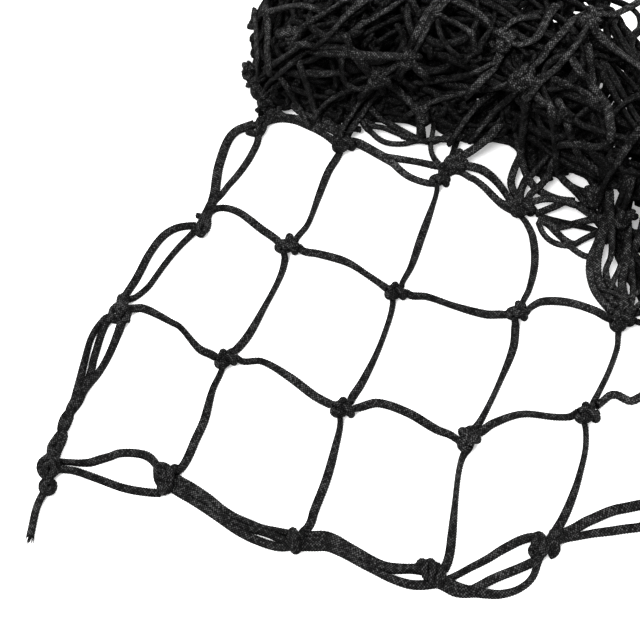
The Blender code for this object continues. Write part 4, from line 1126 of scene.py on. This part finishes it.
# ================================================================ materials
def cord_material(name, base, lift, rough):
    """Braided cord: diamonds of yarn by the cord map, with fine filaments."""
    m = bpy.data.materials.new(name)
    m.use_nodes = True
    nt = m.node_tree
    N, L = nt.nodes, nt.links
    p = N["Principled BSDF"]

    def math_node(op, a, b=None, c=None):
        x = N.new("ShaderNodeMath")
        x.operation = op
        for k, v in enumerate((a, b, c)):
            if v is None:
                continue
            if isinstance(v, (int, float)):
                x.inputs[k].default_value = v
            else:
                L.new(v, x.inputs[k])
        return x.outputs[0]

    uv = N.new("ShaderNodeUVMap")
    uv.uv_map = "CordMap"
    sep = N.new("ShaderNodeSeparateXYZ")
    L.new(uv.outputs[0], sep.inputs[0])
    around = math_node("MULTIPLY", sep.outputs[0], float(BRAID_AROUND))
    s = math_node("ADD", around, sep.outputs[1])
    z = math_node("SUBTRACT", around, sep.outputs[1])
    fs, fz = math_node("FRACT", s), math_node("FRACT", z)
    odd = math_node("FLOORED_MODULO", math_node("ADD", math_node("FLOOR", s), math_node("FLOOR", z)), 2.0)

    def crown(f):
        q = math_node("SUBTRACT", math_node("MULTIPLY", f, 2.0), 1.0)
        return math_node("SUBTRACT", 1.0, math_node("MULTIPLY", q, q))

    cs, cz = crown(fs), crown(fz)
    over = math_node("MULTIPLY", cs, math_node("POWER", math_node("MAXIMUM", cz, 0.0), 0.45))
    under = math_node("MULTIPLY", cz, math_node("POWER", math_node("MAXIMUM", cs, 0.0), 0.45))
    height = math_node("ADD", math_node("MULTIPLY", over, odd),
                       math_node("MULTIPLY", under, math_node("SUBTRACT", 1.0, odd)))
    # filaments run along whichever yarn lies on top
    along = math_node("ADD", math_node("MULTIPLY", s, odd), math_node("MULTIPLY", z, math_node("SUBTRACT", 1.0, odd)))
    fil = math_node("SINE", math_node("MULTIPLY", along, 6.2832 * 5.0))
    geo = N.new("ShaderNodeTexCoord")
    noise = N.new("ShaderNodeTexNoise")
    noise.inputs["Scale"].default_value = 900.0
    noise.inputs["Detail"].default_value = 3.0
    L.new(geo.outputs["Object"], noise.inputs["Vector"])
    big = N.new("ShaderNodeTexNoise")
    big.inputs["Scale"].default_value = 22.0
    big.inputs["Detail"].default_value = 2.0
    L.new(geo.outputs["Object"], big.inputs["Vector"])
    total = math_node("ADD", height, math_node("MULTIPLY", fil, 0.07))
    total = math_node("ADD", total, math_node("MULTIPLY", noise.outputs["Fac"], 0.35))
    bump = N.new("ShaderNodeBump")
    bump.inputs["Strength"].default_value = 1.0
    bump.inputs["Distance"].default_value = 0.0005
    L.new(total, bump.inputs["Height"])
    L.new(bump.outputs["Normal"], p.inputs["Normal"])
    # painted light: yarn crowns get a painted sheen, lighter, and the gaps between them painted shade, darker
    sheen_and_shade_ramp = N.new("ShaderNodeMapRange")
    sheen_and_shade_ramp.inputs["From Min"].default_value = 0.25
    sheen_and_shade_ramp.inputs["From Max"].default_value = 1.05
    L.new(math_node("MULTIPLY", height, math_node("ADD", 0.55, math_node("MULTIPLY", noise.outputs["Fac"], 0.9))),
          sheen_and_shade_ramp.inputs["Value"])
    # every crossing of two yarns has a shade of its own
    cell = N.new("ShaderNodeCombineXYZ")
    L.new(math_node("FLOOR", s), cell.inputs[0])
    L.new(math_node("FLOOR", z), cell.inputs[1])
    own = N.new("ShaderNodeTexWhiteNoise")
    own.noise_dimensions = "2D"
    L.new(cell.outputs[0], own.inputs["Vector"])
    crossing_tone = math_node("ADD", 0.3, math_node("MULTIPLY", math_node("POWER", own.outputs["Value"], 1.8), 2.0))
    # the dark colour is painted shade in the braid's gaps, the light one a painted sheen on the yarn crowns
    mix = N.new("ShaderNodeMix")
    mix.data_type = "RGBA"
    mix.inputs[6].default_value = (base * 0.35, base * 0.35, base * 0.36, 1.0)
    mix.inputs[7].default_value = (lift, lift, lift * 1.0, 1.0)
    L.new(math_node("MULTIPLY", sheen_and_shade_ramp.outputs["Result"], crossing_tone), mix.inputs[0])
    mix.clamp_factor = False
    tone = N.new("ShaderNodeMix")
    tone.data_type = "RGBA"
    tone.blend_type = "MULTIPLY"
    tone.inputs[0].default_value = 1.0
    shade = N.new("ShaderNodeMapRange")
    shade.inputs["From Min"].default_value = 0.3
    shade.inputs["From Max"].default_value = 0.7
    shade.inputs["To Min"].default_value = 0.72
    shade.inputs["To Max"].default_value = 1.3
    L.new(big.outputs["Fac"], shade.inputs["Value"])
    # painted light: faces turned up are lighter and the cord's sides darker, as the lamps above would light and shade
    # them
    way = N.new("ShaderNodeSeparateXYZ")
    L.new(geo.outputs["Normal"], way.inputs[0])
    top = N.new("ShaderNodeMapRange")
    top.inputs["From Min"].default_value = 0.0
    top.inputs["From Max"].default_value = 0.95
    top.inputs["To Min"].default_value = 0.28
    top.inputs["To Max"].default_value = 1.25
    L.new(way.outputs[2], top.inputs["Value"])
    L.new(mix.outputs[2], tone.inputs[6])
    L.new(math_node("MULTIPLY", shade.outputs["Result"], top.outputs["Result"]), tone.inputs[7])
    L.new(tone.outputs[2], p.inputs["Base Color"])
    rg = N.new("ShaderNodeMapRange")
    rg.inputs["To Min"].default_value = rough + 0.18
    rg.inputs["To Max"].default_value = rough - 0.08
    L.new(height, rg.inputs["Value"])
    L.new(rg.outputs["Result"], p.inputs["Roughness"])
    p.inputs["Specular IOR Level"].default_value = 0.03
    return m


def floor_material():
    m = bpy.data.materials.new("studio_floor")
    m.use_nodes = True
    nt = m.node_tree
    p = nt.nodes["Principled BSDF"]
    n = nt.nodes.new("ShaderNodeTexNoise")
    n.inputs["Scale"].default_value = 60.0
    r = nt.nodes.new("ShaderNodeMapRange")
    r.inputs["To Min"].default_value = 0.55
    r.inputs["To Max"].default_value = 0.65
    nt.links.new(n.outputs["Fac"], r.inputs["Value"])
    nt.links.new(r.outputs["Result"], p.inputs["Roughness"])
    p.inputs["Base Color"].default_value = (0.93, 0.93, 0.93, 1.0)
    p.inputs["Specular IOR Level"].default_value = 0.2
    # a lit table: the picture's floor shows next to no shadow
    p.inputs["Emission Color"].default_value = (1.0, 1.0, 1.0, 1.0)
    p.inputs["Emission Strength"].default_value = 0.35
    return m


# ============================================================ camera and light
def camera():
    back, right, up = Vector(BACK), Vector(RIGHT), Vector(UP)
    eye = Vector((EYE - np.array((CENTRE[0], CENTRE[1], 0.0))) * 0.001)
    cam = bpy.data.cameras.new("camera")
    cam.sensor_width = 36.0
    cam.lens = CAM_F_PX / PHOTO_PX * 36.0
    cam.clip_start, cam.clip_end = 0.01, 20.0
    ob = bpy.data.objects.new("camera", cam)
    rot = Matrix((right, up, back)).transposed()
    ob.matrix_world = Matrix.Translation(eye) @ rot.to_4x4()
    bpy.context.scene.collection.objects.link(ob)
    bpy.context.scene.camera = ob


def area(name, loc, aim, size, watts):
    li = bpy.data.lights.new(name, "AREA")
    li.shape = "DISK"
    li.size = size
    li.energy = watts
    ob = bpy.data.objects.new(name, li)
    ob.location = loc
    ob.rotation_euler = (Vector(aim) - Vector(loc)).to_track_quat("-Z", "Y").to_euler()
    bpy.context.scene.collection.objects.link(ob)


def studio():
    me = bpy.data.meshes.new("studio_floor")
    r = 3.0
    me.from_pydata([(-r, -r, 0), (r, -r, 0), (r, r, 0), (-r, r, 0)], [], [(0, 1, 2, 3)])
    ob = bpy.data.objects.new("studio_floor", me)
    bpy.context.scene.collection.objects.link(ob)
    me.materials.append(floor_material())
    w = bpy.data.worlds.new("studio")
    bpy.context.scene.world = w
    w.use_nodes = True
    bg = w.node_tree.nodes["Background"]
    bg.inputs["Color"].default_value = (1.0, 1.0, 1.0, 1.0)
    bg.inputs["Strength"].default_value = 0.5
    area("key", (-0.5, -0.9, 1.5), (0.0, 0.0, 0.0), 0.8, 36.0)
    area("top", (0.3, 0.6, 1.8), (0.0, 0.0, 0.0), 1.0, 30.0)
    bpy.context.scene.view_settings.view_transform = "Standard"


# ============================================================ laying the cords
def chord_points(a, b, offs, lifts=(0.0,) * 3, ts=(0.25, 0.5, 0.75)):
    (ax, ay), (bx, by) = KNOTS[a], KNOTS[b]
    d = math.hypot(bx - ax, by - ay)
    nx, ny = -(by - ay) / d, (bx - ax) / d
    return [np.array((ax + (bx - ax) * t + nx * o, ay + (by - ay) * t + ny * o, CORD_R + l))
            for t, o, l in zip(ts, offs, lifts)]


def arcs(pts):
    return np.concatenate([[0.0], np.cumsum(np.linalg.norm(np.diff(pts, axis=0), axis=1))])


def drawn_in(pts, r):
    """Half width along a cord that is drawn tighter where it enters a knot."""
    s = arcs(pts)
    d = np.minimum(s, s[-1] - s)
    return TIGHT + (r - TIGHT) * np.clip(d / 9.0, 0, 1) ** 0.7


FINE = 1.05      # ring spacing of the cords near the camera
FINE_SIDES = 16
RELIEF = 0.2
LOW = 2.3                              # height of a cord's middle on the floor


def heights(points):
    n = len(points)
    if not any(len(p) > 2 for p in points):
        return [4.5 if k in (0, n - 1) else LOW for k in range(n)]
    return [p[2] if len(p) > 2 else LOW for p in points]


def laid(points):
    """World points of a cord laid over the picture."""
    return [seen(p[0], p[1], h) for p, h in zip(points, heights(points))]


def lay(net, half, points, k, step=None, sides=None, end=None):
    """One cord from its picture points, with its flat side turning slowly."""
    ctrl = np.array(laid(points) if end is None else end)
    pts = smooth(ctrl, step or FINE)
    s = arcs(pts)
    if any(len(p) > 3 for p in points):
        c = arcs(ctrl)
        face = np.interp(s / s[-1], c / c[-1], [p[3] if len(p) > 3 else 40.0 for p in points])
    else:
        face = 38.0 + 34.0 * np.sin(s / (17.0 + 2.3 * (k % 5)) + 1.7 * k)
    net.tube(pts, half, THIN, sides or FINE_SIDES, RELIEF, face=face)


def lay_flat(mesh_net, border_net, knots):
    count = [0]

    def clear_of(knot, leg, towards):
        """A cord's end in a knot, and the point where it comes clear of it."""
        p, _ = knot.port(leg)
        d = np.array((towards[0] - knot.c[0], towards[1] - knot.c[1], 0.0))
        g = knot.c + unit(d) * (12.5 if leg != "D" else 11.5)
        g[2] = 2.7
        return p, g

    def join(a, leg_a, b, leg_b, mids, leaves):
        k = count[0] = count[0] + 1
        if leaves:
            start = laid(leaves)
            reach = np.linalg.norm(start[-1][:2] - knots[a].c[:2]) + 9.0
            mids = [m for m in mids if np.linalg.norm(m[:2] - knots[a].c[:2]) > reach]
        else:
            p, g = clear_of(knots[a], leg_a, mids[0])
            start = [p, g]
        p, g = clear_of(knots[b], leg_b, mids[-1] if mids else start[-1])
        pts = smooth(start + mids + [g, p], FINE)
        s = arcs(pts)
        face = 46.0 + 36.0 * np.sin(s / (15.0 + 2.1 * (k % 6)) + 2.3 * k)
        mesh_net.tube(pts, drawn_in(pts, WIDE), THIN, FINE_SIDES, RELIEF, face=face)

    for a, b, *offs in COLUMN_RUNS:
        join(a, "U", b, "D", chord_points(a, b, offs), LEAVES_UP.get(a))
    for a, b, *offs in ROW_RUNS:
        join(a, "R", b, "L", chord_points(a, b, offs), LEAVES_RIGHT.get(a))
    for k, (half, points) in enumerate(BORDER_STRANDS):
        lay(border_net, half, points, k)
    for line in BORDER_KNOTS:
        pts = smooth(laid(line), FINE)
        border_net.tube(pts, 2.75, 2.45, 14, RELIEF * 0.8)


def tie(net, knot, r, step, sides, relief=0.0, middle=0.0):
    for line in knot.curves():
        net.tube(smooth(line, step), r * 1.06, r * 0.94, sides, relief)
    if middle:
        # the cord packed into the knot's middle
        t = np.linspace(-0.96, 0.96, 13)
        pts = knot.at(np.stack([t * 7.0 - 0.8, t * 0.0, t * 0.0 + 0.6], 1))
        rad = middle * np.sqrt(1 - t * t)
        net.tube(pts, rad, rad, 14)


def lump(net, u, v, h, r):
    """The cord balled up inside a knot, where hardly any of it shows."""
    c = seen(u, v, h)
    t = np.linspace(-0.96, 0.96, 13)
    pts = c + RIGHT * (t * r)[:, None]
    rad = r * np.sqrt(1 - t * t)
    net.tube(pts, rad, rad * 0.95, 14)


def is_knot_end(p):
    """Whether a foot cord's end lies in the knot over row 3."""
    return math.hypot(p[0] - 456, p[1] - 161) < 12


def on_heap(cloud, points, step, dives=True):
    """Lay picture points on the nearest of the heap's cords that shows there."""
    cu, cv, cz = cloud
    ctrl = np.array([(p[0], p[1], 0.0) for p in points])
    uv = smooth(ctrl, 5.0)
    deep = np.full(len(uv), np.nan)
    for i, (u, v, _) in enumerate(uv):
        d2 = (cu - u) ** 2 + (cv - v) ** 2
        for r in (7.0, 12.0, 20.0, 34.0):
            m = d2 < r * r
            if m.any():
                deep[i] = cz[m].min()
                break
    ok = ~np.isnan(deep)
    idx = np.arange(len(uv))
    deep = np.interp(idx, idx[ok], deep[ok]) if ok.any() else np.full(len(uv), CAM_DISTANCE)
    for _ in range(4):
        pad = np.concatenate([deep[:1], deep, deep[-1:]])
        deep = np.minimum(0.25 * pad[:-2] + 0.5 * pad[1:-1] + 0.25 * pad[2:], deep + 1.5)
    out = []
    for (u, v, _), z in zip(uv, deep):
        way = sight(u, v)
        p = EYE + way * ((z - 5.0) / -(way @ BACK))
        if p[2] < 2.4:
            p = seen(u, v, 2.4)
        if p[2] > 122.0:
            p = seen(u, v, 122.0)
        out.append(p)
    return smooth(dive(out, (8.0, 4.0), (13.0, 15.0)) if dives else out, step)


def dive(pts, near, far):
    """Let both ends of a cord go on into the heap, away from the camera."""
    pts = [np.asarray(p, float) for p in pts]
    for _ in range(2):
        p, way = pts[-1], unit(pts[-1] - pts[-2])
        for on, down in (near, far):
            q = p + way * on - BACK * down
            x = min(max(q[0], 8.0), 552.0)
            q[1] = min(q[1], heap_back(x) - 26)
            q[2] = max(min(q[2], 0.86 * heap_height(x)), 2.6)
            pts.append(q)
        pts.reverse()
    return pts


def main():
    camera()
    studio()
    mesh_mat = cord_material("mesh_cord_braid", 0.0018, 0.031, 0.50)
    border_mat = cord_material("border_cord_braid", 0.0018, 0.031, 0.50)
    # the heap's face cords get a lighter copy of the braid, painted light, and the cords inside the heap a darker
    # one, painted shade of the heap's depth
    lit_face_mat = cord_material("folds_face_braid_painted_light", 0.0020, 0.048, 0.50)
    shaded_heap_mat = cord_material("heap_cord_braid_painted_shade", 0.0012, 0.0175, 0.54)

    knots = {}
    for key in KNOTS:
        knots[key] = flat_knot(key) if key in KNOT_LAY else Hitch(key)

    mesh_net, border_net = Net("net_corner"), Net("net_border")
    lay_flat(mesh_net, border_net, knots)
    tight_sides = 14
    for key, k in knots.items():
        if key in KNOT_LAY:
            tie(mesh_net, k, TIGHT * k.size, FINE, tight_sides, RELIEF * 0.8, 4.4 * k.size)
        elif key == (5, 0):
            tie(border_net, k, 2.6, FINE, tight_sides, RELIEF * 0.8)

    # the rest of the net
    sim = Relax(3)
    sim.run(900)
    P = sim.P
    legs = {}
    for a, b, ids, twin in sim.strands:
        if twin:
            continue
        if a[1] == b[1]:
            legs.setdefault(a, {})["R"] = P[ids[2]] - P[ids[0]]
            legs.setdefault(b, {})["L"] = P[ids[-3]] - P[ids[-1]]
        else:
            legs.setdefault(a, {})["U"] = P[ids[2]] - P[ids[0]]
            legs.setdefault(b, {})["D"] = P[ids[-3]] - P[ids[-1]]
    rng = np.random.default_rng(5)
    for key, me in sim.kid.items():
        if key in KNOTS:
            continue
        lg = {k: unit(v) for k, v in legs[key].items()}
        zero = np.zeros(3)
        U, R, D, Lf = (lg.get(k, zero) for k in "URDL")
        a = U + R - D - Lf
        if np.linalg.norm(a) < 0.3:
            a = U - D + rng.normal(size=3) * 0.2
        a = unit(a)
        b = U + Lf - R - D
        b = b - a * (a @ b)
        if np.linalg.norm(b) < 0.2:
            b = np.cross((0, 0, 1.0), a)
        n = np.cross(a, unit(b))
        knots[key] = Knot(P[me], a, n, rng.uniform(0.92, 1.06), bool(rng.random() < 0.4))

    heap_parts = [Net("net_heap_%d" % k) for k in range(1, 5)]

    def part_of(key):
        return heap_parts[min(3, key[0] // 4)]

    def buried(p):
        x = np.clip(p[:, 0], 8, 552)
        inside = (p[:, 2] < 0.62 * heap_height(x)) & (p[:, 1] > foot_line(x) + 26) & (p[:, 1] < heap_back(x) - 30)
        return inside.mean() > 0.85

    cloud = []
    for k, (a, b, ids, twin) in enumerate(sim.strands):
        if a in KNOTS and b in KNOTS:
            continue
        row = a[1] == b[1]
        pa, da = knots[a].port("R" if row else "U", twin)
        pb, db = knots[b].port("L" if row else "D", twin)
        mid = P[ids[1:-1]].copy()
        mid[1:-1] = 0.5 * mid[1:-1] + 0.25 * (mid[:-2] + mid[2:])
        mid[:, 2] = np.maximum(mid[:, 2], CORD_R)
        line = [pa] + list(mid) + [pb]
        if buried(mid):
            sides, step = 6, 6.0
        else:
            sides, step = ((8, 3.3))
        pts = smooth(line, step)
        cloud.append(smooth(line, 3.0))
        s = arcs(pts)
        spin = 1.9 * k + 1.1 * np.sin(s / 23.0 + k)
        part_of(a).tube(pts, drawn_in(pts, WIDE), THIN + 0.1, sides, spin=spin)
    for key in sim.kid:
        if key not in KNOTS:
            fine = not buried(P[sim.kid[key]][None]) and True
            tie(part_of(key), knots[key], TIGHT * knots[key].size, 2.2 if fine else 3.4, 8 if fine else 5)
    foot_net = Net("net_folds_foot")
    for k, line in enumerate(foot_cords(np.random.default_rng(21), 270)):
        pts = smooth(line, 2.9)
        spin = 1.3 * k + 1.1 * np.sin(arcs(pts) / 21.0 + k)
        foot_net.tube(pts, 2.9, THIN, 10, RELIEF * 0.7, spin=spin)
        cloud.append(pts)
    cloud = picture(np.concatenate(cloud))

    # the cords that show at the heap's foot and on its face
    face_net = Net("net_folds_face")
    face_step, face_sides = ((1.32, 14))
    for k, (half, points) in enumerate(FOOT):
        ctrl = laid(points)
        for end, nxt, at in ((0, 1, 0), (-1, -2, len(ctrl))):
            if ctrl[end][2] > 8.4 and not is_knot_end(points[end]):
                # goes on into the heap
                way = unit(unit(ctrl[end] - ctrl[nxt]) + np.array((0.0, 0.35, 0.15)))
                p = ctrl[end]
                more = [p + way * 9.0 - BACK * 2.0, p + way * 20.0 - BACK * 8.0]
                for q in more:
                    q[2] = max(q[2], 3.0)
                ctrl = ctrl + more if end else more[::-1] + ctrl
        lay(face_net, half, [p[:2] for p in points], k + 40, face_step, face_sides, end=ctrl)
    for k, (half, points) in enumerate(FOLDS):
        pts = on_heap(cloud, points, face_step)
        s = arcs(pts)
        turn = (8.0 if half > 3.5 else 40.0) + 24.0 * np.sin(s / (18.0 + k % 5) + 1.3 * k)
        spin = np.radians(90.0 + turn)
        face_net.tube(pts, half, THIN, face_sides, RELIEF, spin=spin)
    for u, v, turn, size in FOLD_KNOTS:
        p = on_heap(cloud, ((u - 3, v), (u + 3, v)), 2.0, False)
        c = p[len(p) // 2]
        t = math.radians(turn)
        c[2] = max(c[2], 6.5)
        knot = Knot(c, RIGHT * math.cos(t) + UP * math.sin(t), BACK, size, turn % 40 < 20)
        tie(face_net, knot, TIGHT * size, face_step, face_sides - 2, RELIEF * 0.8, 4.4 * size)

    # tail with its stopper knot
    tail = smooth(laid(TAIL), 1.05)
    tail_net = Net("corner_tail_cord")
    tail_net.tube(tail, CORD_R, CORD_R, FINE_SIDES, RELIEF)
    stopper = Net("tail_stopper")
    for line in STOPPER:
        stopper.tube(smooth(laid(line), FINE), 2.5, 2.3, tight_sides, RELIEF * 0.8)
    for k, core in enumerate(CORES):
        lump(stopper if k == 1 else border_net, *core)
    fray = Net("tail_fray")
    rf = np.random.default_rng(9)
    end, way = tail[-1], unit(tail[-1] - tail[-4])
    for k in range(18):
        d = unit(way + rf.normal(size=3) * np.array((0.32, 0.25, 0.2)))
        p0 = end - way * 2.0 + rf.normal(size=3) * 0.9
        L = rf.uniform(3.0, 7.5)
        pts = [p0, p0 + d * L * 0.5, p0 + d * L + rf.normal(size=3) * 0.5]
        pts = smooth([(q[0], q[1], max(q[2], 0.6)) for q in pts], 0.8)
        rad = np.linspace(0.55, 0.22, len(pts))
        fray.tube(pts, rad, rad, 6)

    made = [(mesh_net, mesh_mat), (border_net, border_mat), (face_net, lit_face_mat), (foot_net, shaded_heap_mat)] + \
        [(p, shaded_heap_mat) for p in heap_parts] + [(tail_net, border_mat), (stopper, border_mat), (fray, border_mat)]
    objs = {}
    total = 0
    for net, mat in made:
        objs[net.name] = net.build(mat)
        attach(objs[net.name], "root")
        total += net.triangles()
        print(net.name, net.triangles(), "triangles", round(net.length / 1000, 2), "m")
    print("all", total, "triangles")
    slots = {"net_corner": "mesh_cord", "net_border": "border_cord", "corner_tail_cord": "border_cord",
             "tail_stopper": "border_cord", "tail_fray": "border_cord"}
    for name, ob in objs.items():
        slots.get(name, "heap")
    nodes = list(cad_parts)
    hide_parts(*[n for n in nodes if n.startswith(("col_", "row_"))])
    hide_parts(*[n for n in nodes if n.startswith("border_")])
    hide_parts("heap_folds")
    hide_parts("corner_tail")

    def cut_area(ob, width, length):
        """Flat cloth area that the netting stands for: half its cords' surface."""
        half = 0.5 * sum(f.area for f in ob.data.polygons)
        return min(max(half, 0.3 * width * length), width * length)

    for name, width, length, how, extra in (
            ("net_corner", 0.4, 0.25, "laid", ["net_border"]),
            ("net_heap_1", 0.4, 1.9, "folded", ["net_folds_face", "net_folds_foot"]), ("net_heap_2", 0.4, 2.2, "folded", []),
            ("net_heap_3", 0.4, 2.2, "folded", []), ("net_heap_4", 0.4, 2.2, "folded", [])):
        cut_area(objs[name], width, length)
        [objs[e] for e in extra]

    length = float(np.linalg.norm(np.diff(tail, axis=0), axis=1).sum()) * 0.001


main()
